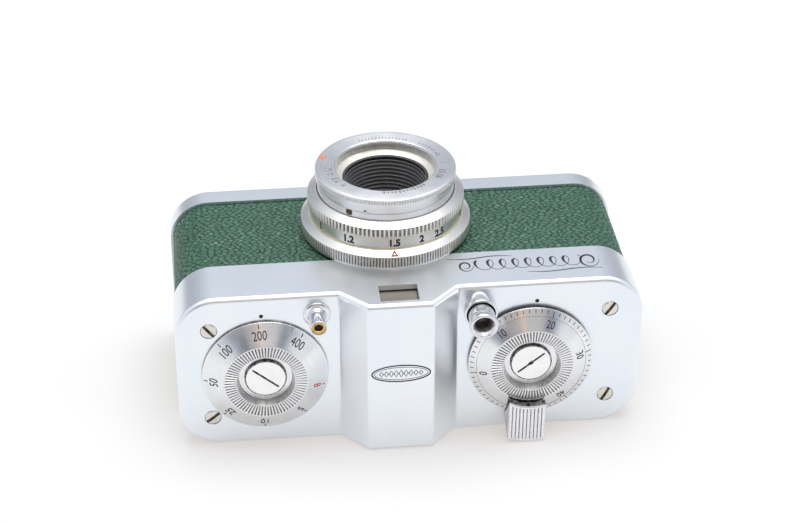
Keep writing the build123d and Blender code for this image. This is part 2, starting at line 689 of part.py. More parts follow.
with BuildPart() as pressure_plate:
    with BuildSketch(Plane.XY.offset(2.05)):
        RectangleRounded(20.0, 16.8, 1.2)
    extrude(amount=0.9)
save(pressure_plate, "pressure_plate")


def bowed_strip(middle, span, base, crown, sheet, width):
    """Leaf spring along X: an arched strip that bears on the back at its ends."""
    with BuildSketch(level(-width / 2)) as section:
        with BuildLine():
            low = ThreePointArc((middle - span / 2, base), (middle, crown - sheet),
                                (middle + span / 2, base))
            high = ThreePointArc((middle - span / 2, base + sheet), (middle, crown),
                                 (middle + span / 2, base + sheet))
            Line(low @ 0, high @ 0)
            Line(low @ 1, high @ 1)
        make_face()
    extrude(section.sketch, amount=width)


BACK_INSIDE = LEATHER + WALL
with BuildPart() as pressure_spring:
    bowed_strip(0, 16, BACK_INSIDE, 2.05, 0.15, 4.0)
save(pressure_spring, "pressure_spring")

with BuildPart() as cassette_springs:
    for middle in (-23.5, 25.0):
        bowed_strip(middle, 14, BACK_INSIDE, 2.9, 0.2, 6.0)
save(cassette_springs, "cassette_springs")

with BuildPart() as tripod_bush:
    with BuildSketch(spindle_plane(*BUSH)):
        profile((BUSH_THREAD_R, BOTTOM), (4.8, BOTTOM), (4.8, BOTTOM + 1.25), (6.0, BOTTOM + 1.25),
                (6.0, BOTTOM + 1.85), (4.8, BOTTOM + 1.85), (4.8, -10.35), (0, -10.35),
                (0, -10.9), (BUSH_THREAD_R, -10.9))
    revolve(axis=spindle_axis(*BUSH))
save(tripod_bush, "tripod_bush")

# Lock key: a disc with a finger bar outside, and a tongue that turns over the casting's floor.
with BuildPart() as lock_key:
    disc(KEY, 5.5, BOTTOM + 0.05, BOTTOM + 0.7)
    disc(KEY, 1.5, BOTTOM + 0.7, -11.6)
    with BuildSketch(level(BOTTOM)):
        with Locations(KEY):
            Circle(4.6)
            Rectangle(1.4, 12, mode=Mode.SUBTRACT)
    extrude(amount=0.4, mode=Mode.SUBTRACT)
    with BuildSketch(level(-12.4)):
        with Locations(KEY):
            RectangleRounded(8.0, 2.4, 0.5)
    extrude(amount=1.0)
save(lock_key, "lock_key")
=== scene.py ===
import json
from math import atan2, ceil, copysign, cos, hypot, pi, radians, sin, sqrt

import bmesh
import bpy
import numpy as np
from mathutils import Matrix, Vector


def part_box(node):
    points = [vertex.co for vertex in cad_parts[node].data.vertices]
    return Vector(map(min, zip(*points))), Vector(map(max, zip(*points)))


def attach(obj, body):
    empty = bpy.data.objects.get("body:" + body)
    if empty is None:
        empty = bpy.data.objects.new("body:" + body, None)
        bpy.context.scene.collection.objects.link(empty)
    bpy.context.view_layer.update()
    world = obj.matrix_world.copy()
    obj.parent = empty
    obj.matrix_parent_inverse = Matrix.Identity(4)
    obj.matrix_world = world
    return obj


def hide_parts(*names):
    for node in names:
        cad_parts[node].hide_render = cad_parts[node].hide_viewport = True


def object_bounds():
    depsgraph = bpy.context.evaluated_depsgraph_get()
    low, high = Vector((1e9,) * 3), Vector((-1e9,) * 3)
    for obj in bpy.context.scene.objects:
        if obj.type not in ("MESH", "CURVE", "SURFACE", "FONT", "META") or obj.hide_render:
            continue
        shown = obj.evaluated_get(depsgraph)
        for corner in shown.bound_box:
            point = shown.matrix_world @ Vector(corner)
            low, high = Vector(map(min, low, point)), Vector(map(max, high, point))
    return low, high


# A subminiature camera on its back. +Z is the optical axis, the top plate faces -Y, and "height"
# is the distance from the optical axis towards the top plate (-Y). Lengths are in millimetres
# until link() turns them to metres.

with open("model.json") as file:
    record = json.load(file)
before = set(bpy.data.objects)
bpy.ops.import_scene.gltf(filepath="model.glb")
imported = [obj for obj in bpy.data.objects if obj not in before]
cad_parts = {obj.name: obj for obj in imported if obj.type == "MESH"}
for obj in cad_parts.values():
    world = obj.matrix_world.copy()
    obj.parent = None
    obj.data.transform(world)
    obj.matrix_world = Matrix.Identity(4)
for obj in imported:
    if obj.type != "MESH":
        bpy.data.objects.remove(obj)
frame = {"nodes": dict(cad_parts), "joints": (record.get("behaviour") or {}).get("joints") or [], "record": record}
cad_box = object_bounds()
MM = 0.001
DRAW = np.random.default_rng(7)


def on_spindle(name):
    """Placement of pieces turned about a joint's spindle."""
    joint = next(joint for joint in frame["joints"] if joint["name"] == name)
    spot = Vector(joint["pos_m"]) / MM
    return upright(spot.x, spot.z)


def box_mm(node):
    """Lowest and highest corner of a CAD node, with height in place of Y."""
    low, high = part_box(node)
    low, high = low / MM, high / MM
    return Vector((low.x, -high.y, low.z)), Vector((high.x, -low.y, high.z))


COVER_HIGH = box_mm("top_cover")[1]
PLATE = 21.0            # height of the top plate
FRONT = COVER_HIGH.z    # depth of the cover's front
DIAL_LOW, DIAL_HIGH = box_mm("speed_dial")
DIAL_R = (DIAL_HIGH.x - DIAL_LOW.x) / 2
HUB_TOP = DIAL_HIGH.y
HUB_R = 7.0
WELL_R, WELL_FOOT_R = 4.88, 4.5
WELL_FLOOR = 21.95
LENS_FRONT = box_mm("aperture_ring")[1].z
BEZEL_R = box_mm("aperture_ring")[1].x
BARREL_R = box_mm("lens_barrel")[1].x
BASE_R = box_mm("base_ring")[1].x
GRIP_R = box_mm("focus_ring")[1].x
SCALE_R = 13.05

# ---- mesh helpers


def link(name, verts, faces, material, place=None, smooth=35.0):
    """Makes an object from local millimetre coordinates and its placement."""
    mesh = bpy.data.meshes.new(name)
    mesh.from_pydata([Vector(v) * MM for v in verts], [], faces)
    mesh.update()
    piece = bpy.data.objects.new(name, mesh)
    bpy.context.scene.collection.objects.link(piece)
    mesh.materials.append(material)
    if place is not None:
        place = place.copy()
        place.translation *= MM
        piece.matrix_world = place
    shade(piece, smooth)
    return piece


def shade(piece, angle):
    """Smooth shading, with edges sharper than the angle kept crisp."""
    mesh = piece.data
    mesh.polygons.foreach_set("use_smooth", [True] * len(mesh.polygons))
    mesh.set_sharp_from_angle(angle=radians(angle))


def clean(piece):
    """Welds doubled points, drops flat faces and turns all normals outwards."""
    bm = bmesh.new()
    bm.from_mesh(piece.data)
    bmesh.ops.remove_doubles(bm, verts=bm.verts, dist=5e-7)
    bmesh.ops.dissolve_degenerate(bm, dist=2e-7, edges=bm.edges)
    bmesh.ops.recalc_face_normals(bm, faces=bm.faces)
    bm.to_mesh(piece.data)
    bm.free()
    return piece


def set_values(piece, name, values):
    """Stores a number per point, for the material to read."""
    layer = piece.data.attributes.new(name, "FLOAT", "POINT")
    layer.data.foreach_set("value", np.asarray(values, np.float32))


def upright(x, z):
    """Placement of pieces turned about a spindle: their local Z points out of the top plate."""
    return Matrix(((1, 0, 0, x), (0, 0, -1, 0), (0, 1, 0, z), (0, 0, 0, 1)))


def over(node):
    """Placement of pieces turned about the middle of a CAD node."""
    low, high = box_mm(node)
    return upright((low.x + high.x) / 2, (low.z + high.z) / 2)


def rounded(outline, steps=3):
    """An outline in which a third number in a point rounds that corner."""
    made = []
    for i, point in enumerate(outline):
        corner = Vector(point[:2])
        back = Vector(outline[i - 1][:2]) - corner
        ahead = Vector(outline[(i + 1) % len(outline)][:2]) - corner
        if len(point) == 2:
            made.append(tuple(corner))
            continue
        size = min(point[2], 0.45 * back.length, 0.45 * ahead.length)
        start = corner + back.normalized() * size
        end = corner + ahead.normalized() * size
        for k in range(steps + 1):
            t = k / steps
            made.append(tuple(start * (1 - t) ** 2 + corner * 2 * t * (1 - t) + end * t * t))
    return made


def circle(count, across, up=None):
    """Points round an ellipse, counter-clockwise from its right end."""
    up = across if up is None else up
    turns = [2 * pi * k / count for k in range(count)]
    return [(across * cos(turn), up * sin(turn)) for turn in turns]


def bridge(loops, count, first=0, ring=False):
    """Faces between neighbouring loops of points. A ring's last loop joins its first."""
    faces = []
    for loop in range(loops if ring else loops - 1):
        a, b = first + loop * count, first + (loop + 1) % loops * count
        for k in range(count):
            n = (k + 1) % count
            faces.append((a + k, a + n, b + n, b + k))
    return faces


def sleeve(loops, count, first=0):
    """Faces between neighbouring loops, with both ends closed."""
    last = first + (loops - 1) * count
    ends = [tuple(range(first, first + count)), tuple(range(last + count - 1, last - 1, -1))]
    return bridge(loops, count, first) + ends


def solid(name, verts, faces, grime_and_painted_light, material, place=None, smooth=30.0):
    """A closed piece whose points carry their share of grime, painted shade and painted highlight."""
    piece = link(name, verts, faces, material, place, smooth)
    set_values(piece, "grime_and_painted_light", grime_and_painted_light)
    clean(piece)
    shade(piece, smooth)
    return piece


def finish_piece(piece, body, slot=None, *nodes):
    """The piece rides on a body and stands for CAD nodes; its slot is not used."""
    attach(piece, body)
    if nodes:
        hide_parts(*nodes)
    return piece


def turned(name, body, slot, outline, material, place=None, steps=128, smooth=32.0, wave=None,
           stands_in=True):
    """Turns a closed (radius, height) outline about local Z, for the CAD node of that name.

    wave(angle, radius, height) gives a new radius, a new height and the point's share of grime, painted shade and
    painted highlight.
    """
    outline = rounded(outline)
    verts, grime_and_painted_light = [], []
    for i in range(steps):
        angle = 2 * pi * i / steps
        for radius, height in outline:
            dirt_and_painted_light = 0.0
            if wave:
                radius, height, dirt_and_painted_light = wave(angle, radius, height)
            verts.append((radius * cos(angle), radius * sin(angle), height))
            grime_and_painted_light.append(dirt_and_painted_light)
    faces = bridge(steps, len(outline), ring=True)
    piece = solid(name, verts, faces, grime_and_painted_light, material, place, smooth)
    finish_piece(piece, body, slot, *([name] if stands_in else []))


def teeth(count, shape):
    """Knurl: which part of the tooth pitch an angle is in, and how deep the groove is there.

    shape lists the depths over one pitch, from 0 at the crest to 1 at the bottom.
    """
    def depth(angle):
        step = round(angle / (2 * pi) * count * len(shape))
        return shape[step % len(shape)]
    return depth


class Marks:
    """Engraved or painted marks: thin closed slabs laid over a surface.

    Each shape is flat, in (u, v), and "to" maps u, v and a lift above the surface to a place.
    """

    SINK = -0.03
    PROUD = 0.014

    def __init__(self):
        self.verts = []
        self.faces = []

    def prism(self, outline, to):
        """A filled simple outline."""
        first = len(self.verts)
        for lift in (self.SINK, self.PROUD):
            self.verts += [to(u, v, lift) for u, v in outline]
        self.faces += sleeve(2, len(outline), first)

    def bar(self, u, v, width, length, to):
        """A rectangle about (u, v)."""
        a, b = width / 2, length / 2
        self.prism([(u - a, v - b), (u + a, v - b), (u + a, v + b), (u - a, v + b)], to)

    def stroke(self, points, width, to, closed=False):
        """A line of even or varying width along points."""
        count = len(points)
        widths = width if isinstance(width, (list, tuple)) else [width] * count
        first = len(self.verts)
        for i, point in enumerate(points):
            before = points[i - 1] if i or closed else point
            after = points[(i + 1) % count] if i < count - 1 or closed else point
            along = (Vector(after) - Vector(before)).normalized()
            side = Vector((-along.y, along.x)) * widths[i] / 2
            for lift in (self.SINK, self.PROUD):
                for sign in (-1, 1):
                    spot = Vector(point) + side * sign
                    self.verts.append(to(spot.x, spot.y, lift))
        for i in range(count if closed else count - 1):
            a, b = first + 4 * i, first + 4 * ((i + 1) % count)
            self.faces += [(a, a + 1, b + 1, b), (a + 2, b + 2, b + 3, a + 3),
                           (a, b, b + 2, a + 2), (a + 1, a + 3, b + 3, b + 1)]
        if not closed:
            a, b = first, first + 4 * (count - 1)
            self.faces += [(a, a + 2, a + 3, a + 1), (b, b + 1, b + 3, b + 2)]

    def text(self, body, size, to, u=0.0, v=0.0, weight=0.0, squeeze=1.0):
        """Figures about (u, v)."""
        curve = bpy.data.curves.new("figures", "FONT")
        curve.body = body
        curve.size = size
        curve.align_x = "CENTER"
        curve.align_y = "CENTER"
        curve.resolution_u = 3
        curve.offset = weight
        curve.extrude = 1.0
        source = bpy.data.objects.new("figures", curve)
        bpy.context.scene.collection.objects.link(source)
        ready = source.evaluated_get(bpy.context.evaluated_depsgraph_get())
        mesh = bpy.data.meshes.new_from_object(ready)
        first = len(self.verts)
        for vert in mesh.vertices:
            lift = self.PROUD if vert.co.z > 0 else self.SINK
            self.verts.append(to(u + vert.co.x * squeeze, v + vert.co.y, lift))
        for polygon in mesh.polygons:
            self.faces.append(tuple(first + k for k in polygon.vertices))
        bpy.data.objects.remove(source)
        bpy.data.curves.remove(curve)
        bpy.data.meshes.remove(mesh)

    def done(self, name, material, body, place=None, slot=None, *nodes):
        piece = clean(link(name, self.verts, self.faces, material, place, smooth=20.0))
        finish_piece(piece, body, slot, *nodes)


# ---- materials


class Graph:
    """A node tree, with short ways to add nodes to it."""

    def __init__(self, tree):
        self.tree = tree

    def plug(self, node, socket, value):
        if isinstance(value, bpy.types.NodeSocket):
            self.tree.links.new(value, node.inputs[socket])
        elif value is not None:
            node.inputs[socket].default_value = value

    def add(self, kind, inputs=(), **settings):
        """A node of that kind. Its inputs go by number or by name."""
        node = self.tree.nodes.new("ShaderNode" + kind)
        for name, value in settings.items():
            setattr(node, name, value)
        for socket, value in inputs.items() if isinstance(inputs, dict) else enumerate(inputs):
            self.plug(node, socket, value)
        return node

    def math(self, operation, a, b=None):
        return self.add("Math", (a, b), operation=operation).outputs[0]

    def times(self, a, b):
        return self.math("MULTIPLY", a, b)

    def span(self, value, low, high, to_low=0.0, to_high=1.0):
        """Maps a number's range onto another, and stops at its ends."""
        return self.add("MapRange", (value, low, high, to_low, to_high)).outputs[0]

    def blend(self, share, a, b):
        """Colour between a and b."""
        colours = [(*colour, 1) if isinstance(colour, tuple) else colour for colour in (a, b)]
        inputs = {"Factor": share, 6: colours[0], 7: colours[1]}
        return self.add("Mix", inputs, data_type="RGBA").outputs[2]

    def ramp(self, value, low, high, stops):
        """Colours along a number's range, from stops of (number, colour)."""
        node = self.add("ValToRGB", (self.span(value, low, high),))
        elements = node.color_ramp.elements
        while len(elements) < len(stops):
            elements.new(0.5)
        for element, (at, colour) in zip(elements, stops):
            element.position = (at - low) / (high - low)
            element.color = (*colour, 1)
        return node.outputs[0]


class Surface(Graph):
    """A Principled material with procedural inputs. Places are object coordinates in mm."""

    def __init__(self, name, colour, metallic=0.0, roughness=0.5, **sockets):
        self.material = bpy.data.materials.new(name)
        self.material.use_nodes = True
        super().__init__(self.material.node_tree)
        self.shader = self.tree.nodes["Principled BSDF"]
        self.shader.inputs["Base Color"].default_value = (*colour, 1)
        self.shader.inputs["Metallic"].default_value = metallic
        self.shader.inputs["Roughness"].default_value = roughness
        for socket, value in sockets.items():
            self.shader.inputs[socket.replace("_", " ")].default_value = value
        place = self.add("TexCoord")
        self.place = self.vector("SCALE", place.outputs["Object"], scale=1 / MM)

    def vector(self, operation, a, b=None, scale=None):
        node = self.add("VectorMath", {0: a, 1: b, "Scale": scale}, operation=operation)
        return node.outputs["Value" if operation == "LENGTH" else "Vector"]

    def axis(self, name):
        """One coordinate of the place, in mm."""
        return self.add("SeparateXYZ", (self.place,)).outputs[name]

    def noise(self, size, detail=2.0, roughness=0.5, stretch=(1, 1, 1)):
        """Noise whose blobs are about that many mm across."""
        place = self.vector("MULTIPLY", self.place, stretch)
        inputs = {"Vector": place, "Scale": 1 / size, "Detail": detail, "Roughness": roughness}
        return self.add("TexNoise", inputs).outputs["Fac"]

    def value(self, name):
        """A number stored on the mesh."""
        return self.add("Attribute", attribute_name=name).outputs["Fac"]

    def colour(self, socket):
        self.plug(self.shader, "Base Color", socket)

    def roughness(self, socket):
        self.plug(self.shader, "Roughness", socket)

    def bump(self, height, depth, strength=1.0):
        """Relief of that many mm where height goes from 0 to 1."""
        node = self.add("Bump", {"Strength": strength, "Distance": depth * MM, "Height": height})
        self.plug(self.shader, "Normal", node.outputs[0])


def satin_metal():
    """Satin-plated sheet: fine even grain, faint smears, brown specks by the hump's feet: grime, and painted shade
    between the hump and the dials.
    """
    made = Surface("satin_metal", (0.80, 0.83, 0.87), 1.0, 0.3)
    grain = made.noise(0.11, 3.0, 0.6)
    smear = made.noise(9.0, 3.0, 0.55, (1, 1, 0.6))
    cloud = made.span(smear, 0.35, 0.7)
    base = made.blend(cloud, (0.82, 0.865, 0.92), (0.86, 0.89, 0.925))
    speck = made.span(made.noise(0.5, 4.0, 0.75), 0.60, 0.70)
    # Brown specks beside the hump's feet: grime, and painted shade where the hump and dials shade the plate.
    beside = made.math("ABSOLUTE", made.math("SUBTRACT", made.math("ABSOLUTE", made.axis("X")), 10.3))
    near = made.span(beside, 0.2, 2.2, 1.0, 0.0)
    on_plate = made.span(made.axis("Y"), -20.7, -20.95)
    dirt_and_painted_light = made.times(made.times(speck, near), on_plate)
    base = made.blend(made.times(dirt_and_painted_light, 0.55), base, (0.42, 0.37, 0.30))
    pits = made.span(made.noise(0.35, 2.0, 0.5), 0.73, 0.80)
    base = made.blend(made.times(pits, 0.35), base, (0.55, 0.52, 0.48))
    made.colour(base)
    made.roughness(made.span(grain, 0.3, 0.7, 0.27, 0.36))
    made.bump(grain, 0.006, 0.35)
    return made.material


def turned_metal(name, colour, roughness=0.22, anisotropic=0.7, dirt_and_painted_light=(0.30, 0.24, 0.15),
                 caked_and_shaded=0.22, metallic=1.0):
    """Lathe-turned alloy about local Z: concentric tool lines, and a per-point colour: grime in the knurl, painted
    shade in gaps, slots and recesses.
    """
    made = Surface(name, colour, metallic, roughness, Anisotropic=anisotropic,
                   Anisotropic_Rotation=0.25)
    tangent = made.add("Tangent", direction_type="RADIAL", axis="Z")
    made.plug(made.shader, "Tangent", tangent.outputs[0])
    radius = made.vector("LENGTH", made.vector("MULTIPLY", made.place, (1, 1, 0)))
    along = made.math("ADD", radius, made.times(made.axis("Z"), 1.3))
    noise = made.add("TexNoise", {"W": along, "Scale": 7.0, "Detail": 4.0}, noise_dimensions="1D")
    lines = noise.outputs["Fac"]
    cloud = made.noise(2.5, 3.0, 0.6)
    shade_of = made.span(cloud, 0.3, 0.7, 0.0, 0.5)
    base = made.blend(shade_of, colour, tuple(0.88 * c for c in colour))
    rings = made.span(lines, 0.35, 0.65, 0.0, 0.16)
    base = made.blend(rings, base, tuple(0.6 * c for c in colour))
    grime_and_painted_light = made.value("grime_and_painted_light")
    patch = made.span(made.noise(0.8, 3.0, 0.6), 0.3, 0.62, 0.45, 1.0)
    # The per-point value blends in the third colour: real grime in knurls and grooves, painted shade at dial rims,
    # screws, the collar's bore and the lever pad.
    thick = made.blend(made.span(grime_and_painted_light, 0.4, 0.75), dirt_and_painted_light, tuple(caked_and_shaded * c for c in dirt_and_painted_light))
    base = made.blend(made.times(grime_and_painted_light, patch), base, thick)
    made.colour(base)
    made.roughness(made.math("ADD", made.span(cloud, 0.3, 0.7, roughness - 0.04, roughness + 0.05),
                             made.times(grime_and_painted_light, 0.35)))
    made.bump(lines, 0.002, 0.25)
    return made.material


def plated(name, colour, roughness, stain=(0.30, 0.20, 0.12), amount=0.25):
    """Polished plating with fine scratches and stains."""
    made = Surface(name, colour, 1.0, roughness)
    scratch = made.noise(0.25, 4.0, 0.7, (1, 1, 5))
    stains = made.span(made.noise(1.1, 3.0, 0.6), 0.52, 0.68, 0.0, amount)
    made.colour(made.blend(stains, made.blend(made.span(scratch, 0.4, 0.7, 0, 0.2), colour,
                                              tuple(0.75 * c for c in colour)), stain))
    made.roughness(made.span(scratch, 0.3, 0.7, roughness * 0.8, roughness * 1.5))
    made.bump(scratch, 0.003, 0.2)
    return made.material


def painted(name, colour, roughness=0.55, wear=0.25):
    """Thin matt paint with dust in it."""
    made = Surface(name, colour, 0.0, roughness)
    dust = made.span(made.noise(0.6, 5.0, 0.7), 0.45, 0.75, 0.0, wear)
    made.colour(made.blend(dust, colour, tuple(min(1.0, c * 2.2 + 0.02) for c in colour)))
    made.roughness(made.span(made.noise(0.2, 2.0), 0.3, 0.7, roughness - 0.08, roughness + 0.1))
    made.bump(made.noise(0.12, 2.0), 0.006, 0.4)
    return made.material


def ridged_black():
    """Black anodised baffle whose edges are painted light grey: a painted highlight on each step's edge."""
    made = Surface("baffle_black", (0.012, 0.012, 0.014), 0.0, 0.28, Coat_Weight=0.4)
    edge = made.value("grime_and_painted_light")
    # Painted highlight: step edges turn lighter grey.
    made.colour(made.blend(edge, (0.010, 0.010, 0.012), (0.16, 0.16, 0.17)))
    made.roughness(made.span(made.noise(0.3, 3.0), 0.3, 0.7, 0.22, 0.4))
    return made.material


def leather():
    """Dark green pebbled leather: creases painted darker, as painted shade, and pale painted glints on its crests,
    more by the left end.
    """
    made = Surface("leather_green", (0.05, 0.15, 0.09), 0.0, 0.42, Coat_Weight=0.1,
                   Coat_Roughness=0.3, Specular_IOR_Level=0.3)
    crest = made.value("crest")
    patch = made.noise(5.0, 3.0, 0.6)
    deep = made.blend(made.span(patch, 0.35, 0.65), (0.005, 0.017, 0.011), (0.008, 0.023, 0.015))
    top = made.blend(made.span(made.noise(0.9, 2.0), 0.35, 0.65), (0.036, 0.110, 0.070),
                     (0.052, 0.145, 0.098))
    # Painted shade: creases far darker than crests, on top of the grain's own darker hollows.
    base = made.blend(made.span(crest, 0.05, 0.65), deep, top)
    # Painted glints: pale colour on the highest crests, in place of highlights.
    worn = made.times(made.span(crest, 0.80, 1.0),
                     made.span(made.noise(0.7, 2.0), 0.45, 0.60))
    # More painted glints towards the left end, where the leather curves round.
    painted_glint_by_left_end = made.span(made.axis("X"), -32.0, -38.0, 0.45, 1.0)
    base = made.blend(made.times(worn, painted_glint_by_left_end), base, (0.34, 0.42, 0.37))
    made.colour(base)
    made.roughness(made.span(crest, 0.1, 0.9, 0.55, 0.34))
    made.bump(made.noise(0.14, 3.0, 0.6), 0.012, 0.5)
    return made.material


def glass(name, colour, transmission, roughness):
    """Old glass with a film of dust."""
    made = Surface(name, colour, 0.0, roughness, IOR=1.55, Coat_Weight=0.5,
                   Coat_Roughness=0.05, Transmission_Weight=transmission)
    film = made.span(made.noise(1.6, 4.0, 0.6), 0.35, 0.7, 0.0, 0.5)
    made.colour(made.blend(film, colour, tuple(0.6 * c + 0.05 for c in colour)))
    return made.material


def brushed(name, colour, roughness, grain):
    """Machined steel with lines along one axis."""
    made = Surface(name, colour, 1.0, roughness)
    lines = made.noise(0.3, 4.0, 0.65, grain)
    made.colour(made.blend(made.span(lines, 0.35, 0.7), colour, tuple(0.7 * c for c in colour)))
    made.roughness(made.span(lines, 0.3, 0.7, roughness - 0.06, roughness + 0.1))
    made.bump(lines, 0.004, 0.3)
    return made.material


SATIN = satin_metal()
LEATHER = leather()
# Each third colour is what the per-point value paints: grime, and painted shade on dial rims, screws, the collar's
# bore and the lever pad (near black for the lever).
DIAL_METAL = turned_metal("dial_metal", (0.86, 0.87, 0.89), 0.2, 0.85, (0.40, 0.36, 0.27))
RING_METAL = turned_metal("ring_metal", (0.78, 0.79, 0.81), 0.36, 0.5, (0.36, 0.29, 0.20))
KNURL_METAL = turned_metal("knurl_metal", (0.80, 0.80, 0.79), 0.30, 0.3, (0.42, 0.36, 0.24), 0.42)
BORE_METAL = turned_metal("bore_metal", (0.84, 0.84, 0.82), 0.36, 0.3, (0.46, 0.36, 0.20), 0.45,
                          0.78)
SCREW_FACE = turned_metal("screw_metal", (0.96, 0.96, 0.95), 0.26, 0.1, (0.16, 0.13, 0.10))
WORN_NICKEL = turned_metal("worn_nickel", (0.76, 0.73, 0.68), 0.3, 0.0, (0.22, 0.15, 0.09), 0.6)
LEVER_FACE = turned_metal("lever_face", (0.88, 0.88, 0.90), 0.25, 0.0, (0.07, 0.065, 0.06))
CHROME_POST = turned_metal("post_metal", (0.82, 0.83, 0.85), 0.2, 0.2, (0.14, 0.13, 0.12))
BUTTON_METAL = turned_metal("button_metal", (0.80, 0.81, 0.84), 0.17, 0.2, (0.30, 0.18, 0.10))
BRASS_BUSH = turned_metal("bush_metal", (0.72, 0.71, 0.68), 0.25, 0.2)
PALE_BRASS = plated("pale_brass", (0.74, 0.70, 0.50), 0.3, (0.45, 0.38, 0.2), 0.4)
LEVER_METAL = plated("lever_metal", (0.84, 0.84, 0.85), 0.22, (0.32, 0.28, 0.22), 0.15)
CHROME = plated("chrome", (0.80, 0.81, 0.84), 0.12, (0.32, 0.26, 0.20), 0.2)
NICKEL = plated("nickel", (0.74, 0.71, 0.66), 0.16)
BRASS = plated("brass", (0.74, 0.50, 0.20), 0.22, (0.30, 0.17, 0.06), 0.5)
BLACK = painted("black_paint", (0.014, 0.014, 0.015))
CAST_BLACK = painted("casting_black", (0.020, 0.020, 0.021), 0.65)
INK = painted("engraving_black", (0.012, 0.012, 0.014), 0.6, 0.1)
RED = painted("engraving_red", (0.55, 0.035, 0.02), 0.5, 0.1)
ORANGE = painted("engraving_orange", (0.75, 0.16, 0.06), 0.45, 0.1)
DEEP_ORANGE = painted("pointer_orange", (0.40, 0.06, 0.025), 0.5, 0.1)
STAINED = painted("stained_brown", (0.10, 0.055, 0.03), 0.6, 0.15)
FAINT_INK = painted("engraving_grey", (0.12, 0.115, 0.11), 0.6, 0.3)
PLASTIC = painted("black_plastic", (0.02, 0.02, 0.02), 0.35)
BAFFLE = ridged_black()
FINDER_GLASS = glass("finder_glass", (0.30, 0.28, 0.24), 0.35, 0.12)
LENS_GLASS = glass("lens_glass", (0.92, 0.95, 0.97), 1.0, 0.02)
STEEL = brushed("machined_steel", (0.60, 0.60, 0.61), 0.3, (1, 6, 1))
SPRING = brushed("spring_steel", (0.42, 0.42, 0.45), 0.28, (6, 1, 1))
BLUED = brushed("blade_steel", (0.10, 0.10, 0.115), 0.4, (1, 6, 1))

FINISHES = {
    "satin_alloy": SATIN, "die_casting": CAST_BLACK, "green_leather": LEATHER,
    "turned_alloy": RING_METAL, "nickel_screws": NICKEL, "chrome_posts": CHROME,
    "brass_contact": BRASS, "black_plastic": PLASTIC, "black_paint": BLACK,
    "optical_glass": LENS_GLASS, "steel_works": STEEL, "spring_steel": SPRING,
    "blade_steel": BLUED,
}


def paint_nodes():
    """Every CAD node gets the material of its slot in the record."""
    for part in frame["record"]["subparts"]:
        node = frame["nodes"][part["node"]]
        node.data.materials.clear()
        node.data.materials.append(FINISHES[part["material_slot"]])
        shade(node, 30)
    for name in ("finder_objective", "finder_eyepiece"):
        frame["nodes"][name].data.materials[0] = FINDER_GLASS


paint_nodes()

# ---- dials

SERRATIONS = 75
SERRATED = (4.98, 6.84)     # inner and outer radius of the serrated zone


def on_cone(rim_top, angle):
    """Marks about a place on the dial's cone: u runs clockwise, v outwards."""
    def place(middle):
        def to(u, v, lift):
            radius = middle + v
            turn = radians(angle) - u / middle
            share = (DIAL_R - radius) / (DIAL_R - HUB_R)
            height = rim_top + share * (HUB_TOP - rim_top) + lift
            return (radius * cos(turn), radius * sin(turn), height)
        return to
    return place


def dial(name, place, rim_low, rim_top, bore):
    """A dial with a conical scale, a serrated hub and a recess round its screw."""
    groove = teeth(SERRATIONS, (0, 0, 0, 0.3, 0.9, 1, 0.5, 0))

    def serrate(angle, radius, height):
        on_hub = height > HUB_TOP - 0.01 and SERRATED[0] < radius < SERRATED[1]
        cut = groove(angle) if on_hub else 0
        dirt_and_painted_light = 0.8 * cut
        # The well's wall is darkened brownish all round, unevenly.
        if WELL_FLOOR + 0.15 < height < HUB_TOP - 0.2 and radius < WELL_R:
            dirt_and_painted_light = 0.42 + 0.12 * sin(angle * 2 + 4) + 0.14 * sin(angle * 23) * sin(angle * 7)
        # Painted shade: the rim's side is painted dark, for the dark gap between dial and plate.
        if radius > DIAL_R - 0.06 and height < rim_top - 0.07:
            dirt_and_painted_light = 0.9
        return radius, height - 0.2 * cut, dirt_and_painted_light

    slope = (HUB_TOP - rim_top) / (DIAL_R - HUB_R)
    inner, outer = SERRATED
    outline = [
        (bore, rim_low), (DIAL_R - 0.05, rim_low, 0.04), (DIAL_R, rim_low + 0.08, 0.04),
        (DIAL_R, rim_top, 0.08), (HUB_R + 0.16, HUB_TOP - 0.16 * slope - 0.03),
        (HUB_R + 0.1, HUB_TOP - 0.07), (HUB_R - 0.08, HUB_TOP), (outer + 0.02, HUB_TOP),
        (outer - 0.02, HUB_TOP), (inner + 0.02, HUB_TOP), (inner - 0.02, HUB_TOP),
        (WELL_R, HUB_TOP - 0.03),
        (WELL_R - 0.06, HUB_TOP - 0.25), (WELL_FOOT_R + 0.04, WELL_FLOOR + 0.2),
        (WELL_FOOT_R, WELL_FLOOR + 0.1), (WELL_FOOT_R - 0.08, WELL_FLOOR), (bore, WELL_FLOOR)]
    turned(name, name, "turned_alloy", outline, DIAL_METAL, place, SERRATIONS * 8, 28, serrate)


ON_SPEED = on_spindle("speed_dial_turn")
ON_COUNTER = on_spindle("counter_dial_turn")
SPEED_RIM = (21.08, 21.45)
COUNTER_RIM = (21.5, 21.75)
dial("speed_dial", ON_SPEED, *SPEED_RIM, 1.96)
dial("counter_dial", ON_COUNTER, *COUNTER_RIM, 2.0)

SPEEDS = {"400": 51.0, "200": 95.0, "100": 138.0, "50": 181.0, "25": 225.5, "10": 268.0,
          "5": 311.0}
BULB_AT = 347.3


def speed_marks():
    marks = Marks()
    for figures, angle in SPEEDS.items():
        at = on_cone(SPEED_RIM[1], angle)
        marks.text(figures, 1.95, at(8.6), squeeze=0.85)
        marks.bar(0, 0, 0.16, 0.62, at(9.95))
    marks.done("speed_dial_figures", INK, "speed_dial", ON_SPEED)
    bulb = Marks()
    at = on_cone(SPEED_RIM[1], BULB_AT)
    bulb.text("B", 1.7, at(8.7), squeeze=0.85)
    bulb.bar(0, 0, 0.16, 0.5, at(9.9))
    bulb.done("speed_dial_red_mark", RED, "speed_dial", ON_SPEED)


